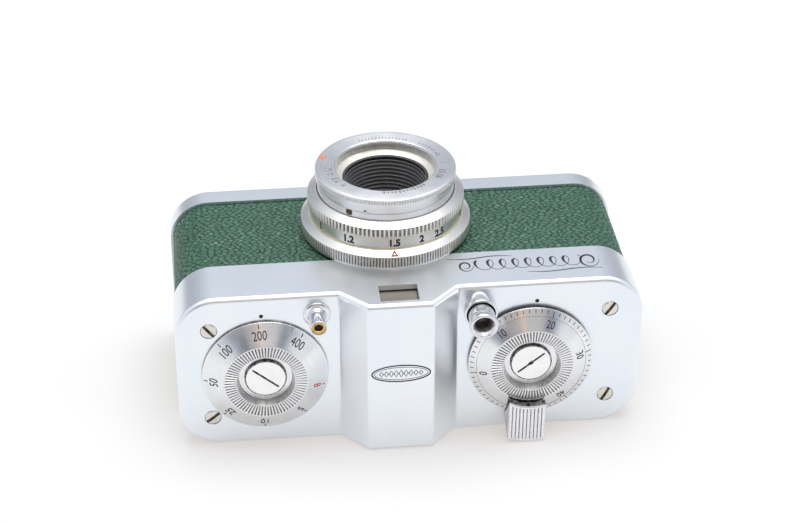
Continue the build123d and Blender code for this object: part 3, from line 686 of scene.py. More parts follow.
def counter_marks():
    marks = Marks()
    for number in range(60):
        at = on_cone(COUNTER_RIM[1], 189.0 - 6.0 * number)
        length = 0.95 if number % 10 == 0 else 0.55
        marks.bar(0, -length / 2, 0.12, length, at(10.3))
        if number % 10 == 0:
            marks.text(str(number), 1.8, at(8.2), squeeze=0.85)
    line_r = 9.3
    ring = [(line_r * 2 * pi * k / 180, 0.0) for k in range(180)]
    marks.stroke(ring, 0.03, on_cone(COUNTER_RIM[1], 0)(line_r), closed=True)
    marks.done("counter_dial_figures", INK, "counter_dial", ON_COUNTER)


speed_marks()
counter_marks()

# ---- screws


def dial_screw(name, place, body, angle, slot_length, worn=0.0):
    """Cheese head with a closed-ended slot, on its threaded shank. Its rim's side and its slot's walls are painted
    dark: painted shade in the gap round the head and in the slot.
    """
    head_r, low, top, shank_r, foot = 3.5, 22.0, 22.45, 0.95, 18.3
    floor, half, steps = top - 0.3, 0.17, 240
    straight = slot_length / 2 - half

    def slot_edge(turn):
        """Distance from the middle to the slot's edge."""
        c, s = abs(cos(turn)), abs(sin(turn))
        width = half * (1 + worn * max(0.0, 1 - (c / max(s, 1e-6)) * 0.35))
        if s * straight <= width * c:
            return straight * c + sqrt(max(half * half - (straight * s) ** 2, 0.0))
        return width / s

    turns = [2 * pi * k / steps for k in range(steps)]
    lip = [(slot_edge(turn) * cos(turn), slot_edge(turn) * sin(turn)) for turn in turns]
    # Third numbers: 1 paints the rim's side and the slot dark, as painted shade.
    loops = [(circle(steps, radius), height, grime_and_painted_light) for radius, height, grime_and_painted_light in (
        (shank_r, foot, 0), (shank_r, low, 0), (head_r - 0.05, low, 1), (head_r, low + 0.05, 1),
        (head_r, top - 0.1, 1), (head_r - 0.04, top - 0.05, 1), (head_r - 0.2, top - 0.03, 1),
        (head_r - 0.24, top, 0), (head_r - 0.4, top, 0))]
    loops += [([(x * grow, y * grow) for x, y in lip], height, grime_and_painted_light) for grow, height, grime_and_painted_light in (
        (1.06, top, 0), (1.0, top - 0.04, 1), (1.0, floor, 1))]
    verts = [(x, y, height) for points, height, grime_and_painted_light in loops for x, y in points]
    dirt_and_painted_light = [grime_and_painted_light for points, height, grime_and_painted_light in loops for point in points]
    faces = bridge(len(loops), steps)
    under, last = len(verts), len(verts) - steps
    for i in range(steps):
        n = (i + 1) % steps
        faces += [(n, i, under), (last + i, last + n, under + 1)]
    verts += [(0, 0, foot), (0, 0, floor)]
    place = place @ Matrix.Rotation(radians(angle), 4, "Z")
    piece = solid(name, verts, faces, dirt_and_painted_light + [0, 1], SCREW_FACE, place)
    finish_piece(piece, body, "nickel_screws", name)


COVER_SCREWS = ((-31.26, 5.55, 38), (-31.26, 22.9, -52), (35.46, 5.55, 62), (35.46, 22.9, 55))


def cover_screws():
    """Four raised heads, each cut right across by a slot. The slot's walls and the heads' sides are painted dark:
    painted shade in the slot and under each head.
    """
    radius, half, low, edge, crown = 1.36, 0.27, 20.55, 21.0, 0.12
    shank_r, foot = 0.7, 18.6
    start = atan2(half, sqrt(radius ** 2 - half ** 2))
    columns, rows, steps = 24, 6, 48
    count = rows + 4
    verts, faces, dirt_and_painted_light = [], [], []

    def dome(x, y):
        share = min(1.0, hypot(x, y) / radius)
        return edge + crown * (1 - share ** 2) - (0.08 if share > 0.985 else 0)

    for x, z, angle in COVER_SCREWS:
        turn = radians(angle)

        def put(u, v, height, grime_and_painted_light):
            verts.append((x + u * cos(turn) - v * sin(turn), -height,
                          z + u * sin(turn) + v * cos(turn)))
            dirt_and_painted_light.append(grime_and_painted_light)

        for side in (-1, 1):
            faces += sleeve(columns + 1, count, len(verts))
            for i in range(columns + 1):
                arc = pi - start - (pi - 2 * start) * i / columns
                u, v = radius * cos(arc), radius * sin(arc)
                # Slot walls painted dark, as painted shade.
                put(u, side * half, low, 1)
                put(u, side * half, edge - 0.03, 1)
                for k in range(rows + 1):
                    up = half + (v - half) * k / rows
                    put(u, side * up, dome(u, up), 0)
                # The head's side darkens towards the plate: painted shade under the head.
                put(u, side * v, low, 1)
        faces += sleeve(2, steps, len(verts))
        for ring_r, height in ((radius - 0.01, low + 0.1), (shank_r, foot)):
            for u, v in circle(steps, ring_r):
                put(u, v, height, 1)
    piece = solid("cover_screws", verts, faces, dirt_and_painted_light, WORN_NICKEL)
    finish_piece(piece, "camera_body", "nickel_screws", "cover_screws")


dial_screw("speed_screw", ON_SPEED, "speed_dial", -40.0, 5.5)
dial_screw("advance_screw", ON_COUNTER, "advance_lever", 38.5, 5.6, 0.9)
cover_screws()

# ---- advance lever

LEVER_TURN = radians(-2.2)
PAD_HALF = 3.12
PAD_SHIFT = -0.5       # the pad sits a little to one side of the spindle
PAD_IN, PAD_OUT = 7.2, 13.8
RIDGES = 10
RIDGE_DEPTH = 0.24
ARM_LOW, ARM_TOP = PLATE + 0.07, PLATE + 0.4


def lever_pad():
    """Thumb pad, rising outwards. Rounded ridges run along it between two smooth lips."""
    # The inner wall and the underside are painted dark: painted shade in the gap beside the dial and under the
    # pad.
    per_ridge = 8
    # radius from the spindle, height, how deep the grooves are there, painted shade
    line = [(PAD_IN, 23.66, 0, 1), (PAD_IN, 24.98, 0, 1), (PAD_IN + 0.02, 25.02, 0, 0.1),
            (PAD_IN + 0.1, 25.08, 0, 0), (7.62, 25.15, 0, 0), (7.78, 25.16, 1, 0)]
    line += [(v, 25.16 + (v - 7.78) * 0.145, 1, 0) for v in (9.0, 10.2, 11.4, 12.6)]
    line += [(13.2, 25.95, 1, 0), (13.35, 25.98, 0, 0), (13.6, 25.94, 0, 0), (13.74, 25.8, 0, 0),
             (PAD_OUT, 25.55, 0, 0), (PAD_OUT, 25.0, 0, 0), (13.7, 24.7, 0, 0.1),
             (13.5, 24.35, 0, 0.3), (12.25, 21.3, 0, 0.3), (12.1, ARM_LOW, 0, 0.3),
             (10.85, ARM_LOW, 0, 0.3), (10.85, 21.95, 0, 1), (PAD_IN + 0.1, 23.62, 0, 1)]
    verts, dirt_and_painted_light = [], []
    columns = RIDGES * per_ridge + 1
    for i in range(columns):
        u = -PAD_HALF + 2 * PAD_HALF * i / (columns - 1)
        phase = (i % per_ridge) / per_ridge
        bump = 1 - sqrt(max(0.0, 1 - (2 * phase - 1) ** 2))
        if i in (0, columns - 1):
            bump = 0.6
        u += PAD_SHIFT
        inner, outer = sqrt(PAD_IN ** 2 - u * u), sqrt(PAD_OUT ** 2 - u * u)
        for v, height, groove, grime_and_painted_light in line:
            out = inner + (v - PAD_IN) * (outer - inner) / (PAD_OUT - PAD_IN)
            verts.append((u, -out, height - RIDGE_DEPTH * bump * groove))
            # Painted shade: the bottoms of the grooves between ridges turn near black.
            caked_and_shaded = max(0.0, bump - 0.45) / 0.55
            dirt_and_painted_light.append(max(grime_and_painted_light, groove * caked_and_shaded))
    return verts, sleeve(columns, len(line)), dirt_and_painted_light


def lever_arm():
    """Flat arm under the counter dial, from the spindle to the pad."""
    half, eye_r, reach, steps = PAD_HALF - 0.15, 3.9, 11.2, 32
    start = atan2(sqrt(eye_r ** 2 - half ** 2), half)
    turns = [-start + (pi + 2 * start) * k / steps for k in range(steps + 1)]
    outline = [(eye_r * cos(turn), eye_r * sin(turn)) for turn in turns]
    outline += [(-half, -reach), (half, -reach)]
    verts = [(x, y, height) for height in (ARM_LOW, ARM_TOP) for x, y in outline]
    return verts, sleeve(2, len(outline))


def advance_lever():
    place = ON_COUNTER @ Matrix.Rotation(LEVER_TURN, 4, "Z")
    pad = solid("lever_pad", *lever_pad(), LEVER_FACE, place, 40)
    finish_piece(pad, "advance_lever", "turned_alloy", "advance_lever")
    arm = clean(link("lever_arm", *lever_arm(), LEVER_METAL, place, 30))
    finish_piece(arm, "advance_lever", "turned_alloy")


advance_lever()

# ---- posts on the top plate


def posts():
    # Painted shade: the collar's bore is painted dark grey, for the dark gap round the button.
    def bore_dirt(angle, radius, height):
        return radius, height, 0.7 if radius < 2.41 and 21.4 < height < 23.85 else 0.0

    def thread_dirt(angle, radius, height):
        return radius, height, 0.85 if radius < 1.4 and height > 24.2 else 0.0

    flash, release = over("flash_shell"), over("release_collar")
    turned("flash_shell", "camera_body", "chrome_posts", [
        (0.0, 19.8), (1.15, 19.8), (1.15, PLATE), (2.29, PLATE), (2.29, PLATE + 0.3, 0.1),
        (1.95, PLATE + 0.5, 0.15), (1.55, PLATE + 0.55, 0.2), (1.4, PLATE + 0.9, 0.3),
        (1.4, 25.3, 0.08), (1.3, 25.4, 0.05), (1.2, 25.4, 0.03), (1.2, 21.6), (0.0, 21.6)],
        CHROME, flash, 96)
    turned("flash_contact", "camera_body", "brass_contact", [
        (0.62, 22.0), (1.17, 22.0), (1.17, 25.26, 0.07), (0.98, 25.36, 0.07), (0.8, 25.34, 0.07),
        (0.62, 25.1, 0.07)], BRASS, flash, 72)
    turned("flash_insulator", "camera_body", "black_plastic", [
        (0.0, 21.65), (0.58, 21.65), (0.58, 24.7, 0.12), (0.2, 24.7, 0.1), (0.2, 24.3),
        (0.0, 24.3)], PLASTIC, flash, 48)
    turned("release_collar", "camera_body", "chrome_posts", [
        (1.05, 20.1), (1.55, 20.1), (1.55, PLATE), (2.8, PLATE), (2.8, 23.7, 0.2),
        (2.74, 24.0, 0.1), (2.42, 24.0, 0.06), (2.4, 23.9), (2.4, 23.0), (2.26, 22.7),
        (2.26, 21.5), (1.05, 21.5)], CHROME_POST, release, 96, wave=bore_dirt)
    thread = [(1.35 - 0.1 * (k % 2), 27.1 - 0.2 * k) for k in range(7)]
    turned("release_button", "release_button", "chrome_posts", [
        (0.0, 16.0), (1.0, 16.0), (1.0, 23.4), (2.2, 23.4), (2.2, 26.0, 0.3), (2.38, 26.6, 0.25),
        (2.38, 27.55, 0.12), (2.2, 27.75, 0.1), (1.9, 27.75, 0.08), (1.42, 27.25), *thread,
        (1.2, 24.4), (0.0, 24.3)], BUTTON_METAL, release, 96, wave=thread_dirt)


posts()

# ---- lens


def on_wall(radius, angle, level_z):
    """Marks on an upright wall. The angle is from -Y towards +X; u runs right, v up."""
    def to(u, v, lift):
        turn = radians(angle) + u / radius
        return ((radius + lift) * sin(turn), -(radius + lift) * cos(turn), level_z + v)
    return to


def on_face(angle, radius, level_z):
    """Marks on the lens's face. The angle is from +X towards +Y; v runs outwards."""
    def to(u, v, lift):
        turn = radians(angle) - u / radius
        return ((radius + v) * cos(turn), (radius + v) * sin(turn), level_z + lift)
    return to


def on_bevel(inner, outer, angle):
    """Marks on a bevel between two (radius, z) edges; u runs right, v up the slope."""
    (r_in, z_in), (r_out, z_out) = inner, outer
    length = hypot(r_out - r_in, z_in - z_out)

    def to(u, v, lift):
        share = 0.5 + v / length
        radius = r_out + (r_in - r_out) * share
        height = z_out + (z_in - z_out) * share
        radius += lift * (z_in - z_out) / length
        height += lift * (r_out - r_in) / length
        turn = radians(angle) + u / radius
        return (radius * sin(turn), -radius * cos(turn), height)
    return to


BASE_BEVEL = ((13.1, 32.0), (BASE_R, 31.1))


def base_ring():
    ridges = 175
    groove = teeth(ridges, (0, 0, 1, 1))

    def knurl(angle, radius, height):
        cut = groove(angle) if radius > BASE_R - 0.05 and 29.1 < height < 31.0 else 0
        return radius - 0.2 * cut, height, cut

    turned("base_ring", "camera_body", "turned_alloy", [
        (10.45, FRONT), (BASE_R - 0.22, FRONT), (BASE_R - 0.2, 29.05), (BASE_R, 29.2),
        (BASE_R, 30.95), (BASE_R - 0.08, 31.1), (BASE_R - 0.2, 31.2), (13.15, 31.97, 0.04),
        (13.1, 31.99), (10.45, 31.99)], KNURL_METAL, None, 4 * ridges, 28, knurl)
    turned("helicoid_edge", "camera_body", "brass_contact", [
        (12.2, 31.99), (13.3, 31.99), (13.3, 32.02), (13.15, 32.08), (12.2, 32.08)],
        PALE_BRASS, stands_in=False)
    pointer = Marks()
    to = on_bevel(*BASE_BEVEL, 0.5)
    outer = [(-0.66, -0.62), (0.66, -0.62), (0.0, 0.68)]
    inner = [(u * 0.3, v * 0.3 - 0.1) for u, v in outer]
    for k in range(3):
        n = (k + 1) % 3
        pointer.prism([outer[k], outer[n], inner[n], inner[k]], to)
    pointer.done("focus_pointer", DEEP_ORANGE, "camera_body")


FOCUS_SCALE = {"1": -61.9, "1.2": -34.0, "1.5": 0.8, "2": 21.9, "2.5": 38.1, "4": 70.0,
               "10": 103.0, "0.8": -100.0, "0.6": -168.7, "0.5": 135.0}


def focus_ring():
    ridges = 112
    groove = teeth(ridges, (0, 0, 0.3, 1, 1, 1, 0.3, 0))

    def knurl(angle, radius, height):
        cut = groove(angle) if radius > GRIP_R - 0.05 and 34.25 < height < 35.8 else 0
        dirt_and_painted_light = cut * (0.72 + 0.28 * cos(angle - radians(215)))
        if SCALE_R - 0.01 < radius < SCALE_R + 0.05 and height > 34.2:
            dirt_and_painted_light = 0.5
        return radius - 0.32 * cut, height, dirt_and_painted_light

    turned("focus_ring", "focus_ring", "turned_alloy", [
        (10.5, 32.1), (SCALE_R - 0.05, 32.1), (SCALE_R, 32.2, 0.03), (SCALE_R, 34.28),
        (GRIP_R, 34.33), (GRIP_R, 35.66), (GRIP_R - 0.04, 35.74), (GRIP_R - 0.1, 35.8),
        (12.0, 36.58, 0.05), (11.78, 36.6, 0.02), (11.74, 36.5), (11.74, 33.0), (10.5, 33.0)],
        KNURL_METAL, None, 8 * ridges, 30, knurl)
    marks = Marks()
    for figures, angle in FOCUS_SCALE.items():
        marks.text(figures, 1.8, on_wall(SCALE_R, angle, 33.0), weight=0.085, squeeze=0.95)
    marks.done("focus_figures", INK, "focus_ring")


THREAD_R = 8.46
THREAD_PITCH = 0.32
CONE_Z = 38.85          # front edge of the bright cone, and foot of the filter thread


def barrel():
    """Outer sleeve, front thread, bright cone and lens cell."""
    groove_at, turns = 37.72, []
    for k in range(3):
        z = 39.75 - k * THREAD_PITCH
        turns += [(THREAD_R, z), (THREAD_R + 0.08, z - 0.03), (THREAD_R + 0.08, z - 0.1),
                  (THREAD_R, z - 0.13)]

    def dirty(angle, radius, height):
        dirt_and_painted_light = 0.8 if abs(height - groove_at) < 0.03 and 11 < radius < BARREL_R - 0.05 else 0.0
        return radius, height, dirt_and_painted_light

    turned("lens_barrel", "lens_barrel", "turned_alloy", [
        (BARREL_R, 33.5), (BARREL_R, groove_at - 0.07, 0.02), (BARREL_R - 0.1, groove_at),
        (BARREL_R, groove_at + 0.07, 0.02), (BARREL_R, 38.85, 0.04), (8.87, 38.85),
        (8.87, 40.36, 0.04), (8.7, 40.36), (8.7, 38.7), (7.5, 38.2), (7.5, 27.4), (4.1, 27.4),
        (4.1, 22.9), (7.9, 22.9), (7.9, 22.0), (3.0, 22.0), (3.0, 21.7), (4.1, 21.7), (4.1, 19.8),
        (9.32, 19.8), (9.32, 36.0), (10.46, 36.0), (10.46, 33.5)], RING_METAL, None, 256, 28, dirty)

    def stained(angle, radius, height):
        if THREAD_R + 0.06 < radius < 8.6 and 38.9 < height < 39.8:
            return radius, height, 0.9
        # The cone face takes an even gold tint, and a painted reflection: a golden patch bunched round one angle
        # (about 104 degrees).
        on_cone_face = 7.28 < radius < THREAD_R - 0.01 and 38.45 < height < CONE_Z
        spot = 0.25 + 0.3 * max(0.0, sin(angle - 0.25)) ** 30
        return radius, height, spot if on_cone_face else 0.0

    turned("filter_thread", "lens_barrel", "turned_alloy", [
        (8.72, 40.38), (8.5, 40.4, 0.03), (THREAD_R, 40.3), *turns, (THREAD_R, CONE_Z, 0.03),
        (7.3, 38.5, 0.05), (7.26, 38.4), (7.26, 37.0), (7.52, 37.0), (7.52, 38.3), (8.72, 38.75)],
        BORE_METAL, None, 256, 28, stained, stands_in=False)


SCREW_ANGLE = -37.0     # set screw in the barrel, from -Y towards +X


def barrel_screw():
    """Set screw, sunk in the barrel and stained brown, and a smaller filled hole beside it."""
    marks = Marks()
    marks.prism([(0.62 * copysign(abs(c) ** 0.7, c), 0.55 * copysign(abs(s) ** 0.7, s))
                 for c, s in circle(32, 1.0)], on_wall(BARREL_R, SCREW_ANGLE, 37.3))
    marks.prism(circle(16, 0.24, 0.16), on_wall(BARREL_R, -22.7, 38.15))
    marks.done("barrel_screw", STAINED, "lens_barrel", None, "nickel_screws", "barrel_screw")
    # The slot is a black bar laid on the screw: painted shade standing in for the slot's depth.
    slot = Marks()
    slot.PROUD = 0.03
    slot.bar(0, 0, 0.95, 0.12, on_wall(BARREL_R, SCREW_ANGLE, 37.3))
    slot.done("barrel_screw_slot", INK, "lens_barrel")


def aperture_ring():
    ridges = 160
    groove = teeth(ridges, (0, 0, 1, 1))

    def knurl(angle, radius, height):
        cut = groove(angle) if radius > BEZEL_R - 0.06 and 39.6 < height < 40.2 else 0
        dirt_and_painted_light = 0.45 * cut
        if abs(radius - 10.9) < 0.02 and height > LENS_FRONT - 0.1:
            dirt_and_painted_light = 0.6
        return radius - 0.1 * cut, height, dirt_and_painted_light

    wall = [(BEZEL_R, z) for z in (39.0, 39.6, 39.66, 40.1, 40.16, 40.24)]
    turned("aperture_ring", "aperture_ring", "turned_alloy", [
        (8.93, 38.95), (BEZEL_R - 0.05, 38.95), *wall, (BEZEL_R - 0.04, LENS_FRONT - 0.2, 0.05),
        (BEZEL_R - 0.25, LENS_FRONT, 0.08), (10.94, LENS_FRONT), (10.9, LENS_FRONT - 0.04),
        (10.86, LENS_FRONT), (8.7, LENS_FRONT, 0.03), (8.56, LENS_FRONT - 0.1, 0.03),
        (8.56, 40.46), (8.93, 40.44)], RING_METAL, None, 4 * ridges, 28, knurl)
    # relief holds chrome copies of figures and ticks, set a little aside: painted glints on their raised edges. It
    # also holds two lone chrome lines.
    marks, relief = Marks(), Marks()
    for figures, angle in (("2.8", 182), ("4", 194), ("5.6", 206), ("8", 219)):
        at = on_face(angle, 9.65, LENS_FRONT)
        marks.text(figures, 1.5, at, squeeze=0.85)
        relief.text(figures, 1.5, at, u=0.14, v=0.1, squeeze=0.85)
    for figures, angle in (("16", -28), ("11", -18)):
        marks.text(figures, 1.6, on_face(angle, 9.75, LENS_FRONT), weight=0.02, squeeze=0.9)
    # number of lines, first angle, pitch, radius, width, short and long line, how often a long one
    for count, first, pitch, radius, width, short, long, every in (
            (12, -97, 4.1, 9.25, 0.22, 0.55, 0.85, 4), (15, 62, 3.6, 9.5, 0.14, 0.4, 0.7, 5),
            (8, 16, 4.4, 9.6, 0.16, 0.45, 0.8, 4)):
        for k in range(count):
            at = on_face(first + pitch * k, radius, LENS_FRONT)
            marks.bar(0, 0, width, short if k % every else long, at)
            if first == -97:
                relief.bar(0.3, 0, 0.16, 0.5, at)
    relief.bar(0, 0, 0.14, 1.3, on_face(-0.5, 9.9, LENS_FRONT))
    relief.bar(0, 0, 0.16, 0.8, on_face(160, 9.4, LENS_FRONT))
    marks.done("aperture_figures", FAINT_INK, "aperture_ring")
    relief.done("aperture_painted_glints", CHROME, "aperture_ring")
    dot = Marks()
    dot.prism([(0.0, -0.95), (0.4, 0.1), (0.42, 0.5), (0.25, 0.62), (-0.25, 0.62), (-0.42, 0.5),
               (-0.4, 0.1)], on_face(160, 11.0, LENS_FRONT))
    dot.done("aperture_dot", ORANGE, "aperture_ring")


BAFFLE_STEPS = 17


def lens_baffle():
    """Stepped black funnel: each step's fine edge is painted lighter grey, a painted highlight."""
    outline = []
    low, high = 27.5, 38.45
    rise = (high - low) / BAFFLE_STEPS
    edges = [4.3 + 2.65 * step / (BAFFLE_STEPS - 1) for step in range(BAFFLE_STEPS)]
    for step, radius in enumerate(edges):
        z = low + step * rise
        outline += [(radius + 0.16, z), (radius + 0.15, z + 0.3), (radius, z + 0.42),
                    (radius, z + rise - 0.06), (radius + 0.1, z + rise - 0.01)]
    outline[-1] = (7.02, high)
    outline += [(7.2, high), (7.2, low)]

    # Painted highlight: points on the step edges get the lighter grey.
    def shine(angle, radius, height):
        return radius, height, 1.0 if any(abs(radius - e) < 0.01 for e in edges) else 0.0

    turned("lens_baffle", "lens_barrel", "black_paint", outline, BAFFLE, None, 160, 25, shine)


base_ring()
focus_ring()
barrel()
barrel_screw()
aperture_ring()
lens_baffle()

# ---- leather

PEBBLE = (1.15, 0.62)    # along the body and across it
LEATHER_GRID = 0.17
CORNER_POINTS = 41
RELIEF = 0.16            # how deep the creases of the grain are


def skin_line(x0, x1, z0, z1, radius):
    """Outline of the leather seen from the top, as dense points: left, front, right, back."""
    points = []
    for cx, cz, start in ((x0 + radius, z1 - radius, pi), (x1 - radius, z1 - radius, pi / 2),
                          (x1 - radius, z0 + radius, 0), (x0 + radius, z0 + radius, -pi / 2)):
        for k in range(CORNER_POINTS):
            turn = start - pi / 2 * k / (CORNER_POINTS - 1)
            points.append((cx + radius * cos(turn), cz + radius * sin(turn)))
    return points


def resample(points, step):
    """Evenly spaced points along a line, with the outward normals."""
    line = np.array(points)
    run = np.concatenate([[0], np.cumsum(np.hypot(*np.diff(line, axis=0).T))])
    count = int(ceil(run[-1] / step))
    at = np.linspace(0, run[-1], count + 1)
    even = np.stack([np.interp(at, run, line[:, 0]), np.interp(at, run, line[:, 1])], 1)
    along = np.gradient(even, axis=0)
    along /= np.linalg.norm(along, axis=1)[:, None]
    normal = np.stack([-along[:, 1], along[:, 0]], 1)
    return at, even, normal


def pebbles(s, h):
    """Relief of the grain, 0 in the creases to 1 on the crests, over running length and height."""
    seed = DRAW.integers(1, 1000)
    wander = 0.18 * np.sin(s * 0.9 + 1.7 * h) + 0.14 * np.sin(s * 2.3 - 0.8 * h + 2)
    u, v = s / PEBBLE[0], (h + wander) / PEBBLE[1]
    iu, iv = np.floor(u).astype(int), np.floor(v).astype(int)
    nearest = np.full(u.shape, 9.0)
    second = np.full(u.shape, 9.0)
    tall = np.zeros(u.shape)
    for du in (-1, 0, 1):
        for dv in (-1, 0, 1):
            cu, cv = iu + du, iv + dv
            jitter = np.sin(cu * 127.1 + cv * 311.7 + seed) * 43758.5453
            other = np.sin(cu * 269.5 + cv * 183.3 + seed) * 24634.6345
            jitter, other = jitter - np.floor(jitter), other - np.floor(other)
            pu = cu + 0.5 * (cv % 2) + 0.5 + 0.7 * (jitter - 0.5)
            pv = cv + 0.5 + 0.62 * (other - 0.5)
            away = np.hypot(u - pu, v - pv)
            closer = away < nearest
            second = np.where(closer, nearest, np.minimum(second, away))
            tall = np.where(closer, 0.72 + 0.28 * other, tall)
            nearest = np.where(closer, away, nearest)
    crease = np.clip((second - nearest) / 0.42, 0, 1)
    crease = crease * crease * (3 - 2 * crease)
    crown = np.clip(1 - 0.75 * nearest ** 2, 0, 1)
    return crease * crown * tall


def leather_panel(name, line, low, high, body, hole=0.0):
    """A sheet of leather round the body, with its grain as real relief."""
    at, even, normal = resample(line, LEATHER_GRID)
    rows = int(ceil((high - low) / LEATHER_GRID))
    heights = np.linspace(low, high, rows + 1)
    s, h = np.meshgrid(at, heights, indexing="ij")
    crest = pebbles(s, h)
    edge = np.minimum.reduce([h - low, high - h, s, at[-1] - s])
    fade = np.clip(edge / 0.35, 0, 1)
    lift = RELIEF * (crest * fade - 1) - 0.12 * (1 - fade) ** 2
    x, z = (even[:, k, None] + normal[:, k, None] * lift for k in (0, 1))
    verts = np.stack([x, -h, z], 2).reshape(-1, 3)
    keep = ~((np.hypot(verts[:, 0], verts[:, 1]) < hole) & (verts[:, 2] > FRONT - 2))
    across = rows + 1
    i, k = np.meshgrid(np.arange(len(at) - 1), np.arange(rows), indexing="ij")
    a = (i * across + k).reshape(-1)
    quads = np.stack([a, a + across, a + across + 1, a + 1], 1)
    quads = quads[keep[quads].all(1)]
    piece = link(name, verts, quads.tolist(), LEATHER, None, 180)
    set_values(piece, "crest", crest.reshape(-1))
    solid = piece.modifiers.new("thickness", "SOLIDIFY")
    solid.thickness = 0.35 * MM
    solid.offset = 1
    bm = bmesh.new()
    bm.from_mesh(piece.data)
    loose = [v for v in bm.verts if not v.link_faces]
    bmesh.ops.delete(bm, geom=loose, context="VERTS")
    bm.to_mesh(piece.data)
    bm.free()
    finish_piece(piece, body, "green_leather", name)


def leather_panels():
    front_low, front_high = box_mm("front_leather")
    back_low, back_high = box_mm("back_leather")
    outline = skin_line(front_low.x, front_high.x, back_low.z, front_high.z, 6.65)
    half = 2 * CORNER_POINTS
    front = [(front_low.x, front_low.z)] + outline[:half] + [(front_high.x, front_low.z)]
    leather_panel("front_leather", front, front_low.y, front_high.y, "camera_body", BASE_R - 0.75)
    behind = [point for point in outline[half:] if point[1] < back_high.z]
    back = [(back_high.x, back_high.z)] + behind + [(back_low.x, back_high.z)]
    leather_panel("back_leather", back, back_low.y, back_high.y, "back")


leather_panels()

# ---- engraved ornament


def ornament():
    """Plain engraving: an oval with a ruled middle on the hump, a waved band on the skirt."""
    hump = COVER_HIGH.y

    def on_hump(u, v, lift):
        return (u, -(hump + lift), 15.5 + v)

    badge = Marks()
    for across, up, width in ((4.85, 1.6, 0.24), (4.45, 1.22, 0.1)):
        badge.stroke(circle(96, across, up), width, on_hump, closed=True)
    for k in range(-4, 5):
        wide, tall = 0.34, 0.72 - 0.07 * abs(k)
        badge.stroke([(0.82 * k - wide, 0), (0.82 * k, -tall), (0.82 * k + wide, 0),
                      (0.82 * k, tall)], 0.15, on_hump, closed=True)
    badge.done("hump_engraving", INK, "camera_body")

    def on_skirt(u, v, lift):
        return (u, -v, FRONT + lift)

    band = Marks()
    left, right, base, loops = 14.0, 31.0, 14.8, 8
    line, widths = [], []
    for k in range(loops * 40 + 1):
        share = k / (loops * 40)
        turn = share * loops * 2 * pi
        line.append((left + (right - left) * share - 0.95 * sin(turn), base - 1.5 * cos(turn)))
        widths.append(0.11 + 0.36 * max(0.0, sin(turn + 0.6)) ** 2)
    band.stroke(line, widths, on_skirt)
    count = 48
    shares = [k / count for k in range(count + 1)]
    for u, v, wide, tall, width in ((32.6, 14.9, 1.75, 2.3, 0.36), (11.9, 14.9, 1.3, 1.7, 0.3)):
        curl = []
        for share in shares:
            turn, size = 2 * pi * 1.35 * share, 1 - 0.62 * share
            curl.append((u + wide * size * cos(turn), v + tall * size * sin(turn)))
        band.stroke(curl, [0.08 + width * sin(pi * share) ** 2 for share in shares], on_skirt)
    for v, start, stop in ((12.4, 9.0, 20.0), (17.5, 22.0, 34.5)):
        sweep = [(start + (stop - start) * s, v + 0.3 * sin(2 * pi * s)) for s in shares]
        band.stroke(sweep, [0.08 + 0.16 * sin(pi * s) for s in shares], on_skirt)
    band.done("skirt_engraving", INK, "camera_body")


ornament()

# ---- bottom


def tripod_bush():
    low, high = box_mm("tripod_bush")
    bottom, top, pitch, bore = low.y, high.y, 0.63, 3.17
    thread = []
    for k in range(6):
        z = bottom + 0.25 + k * pitch
        thread += [(bore, z), (3.5, z + pitch / 2)]
    turned("tripod_bush", "back", "brass_contact", [
        (3.4, bottom, 0.05), (4.8, bottom, 0.1), (4.8, bottom + 1.25), (6.0, bottom + 1.25),
        (6.0, bottom + 1.85), (4.8, bottom + 1.85), (4.8, top, 0.1), (0.0, top), (0.0, top - 0.55),
        (bore, top - 0.55), *reversed(thread)], BRASS_BUSH, over("tripod_bush"), 96, 28)


tripod_bush()

# ---- floor, light, camera


def stage():
    """Pale floor. Its own faint glow keeps it white; what the object shades turns warm."""
    size, gap = 3.0, 0.00002
    mesh = bpy.data.meshes.new("floor")
    corners = [(-size, -size, 0), (size, -size, 0), (size, size, 0), (-size, size, 0)]
    mesh.from_pydata(corners, [], [(0, 1, 2, 3)])
    floor = bpy.data.objects.new("floor", mesh)
    floor.location.z = cad_box[0].z - gap
    bpy.context.scene.collection.objects.link(floor)
    made = bpy.data.materials.new("floor")
    made.use_nodes = True
    graph = Graph(made.node_tree)
    graph.tree.nodes.clear()
    glow = graph.add("Emission", ((1.0, 0.91, 0.83, 1), 0.46))
    matt = graph.add("BsdfDiffuse", ((0.37, 0.40, 0.43, 1),))
    both = graph.add("AddShader", (glow.outputs[0], matt.outputs[0]))
    graph.add("OutputMaterial", (both.outputs[0],))
    mesh.materials.append(made)


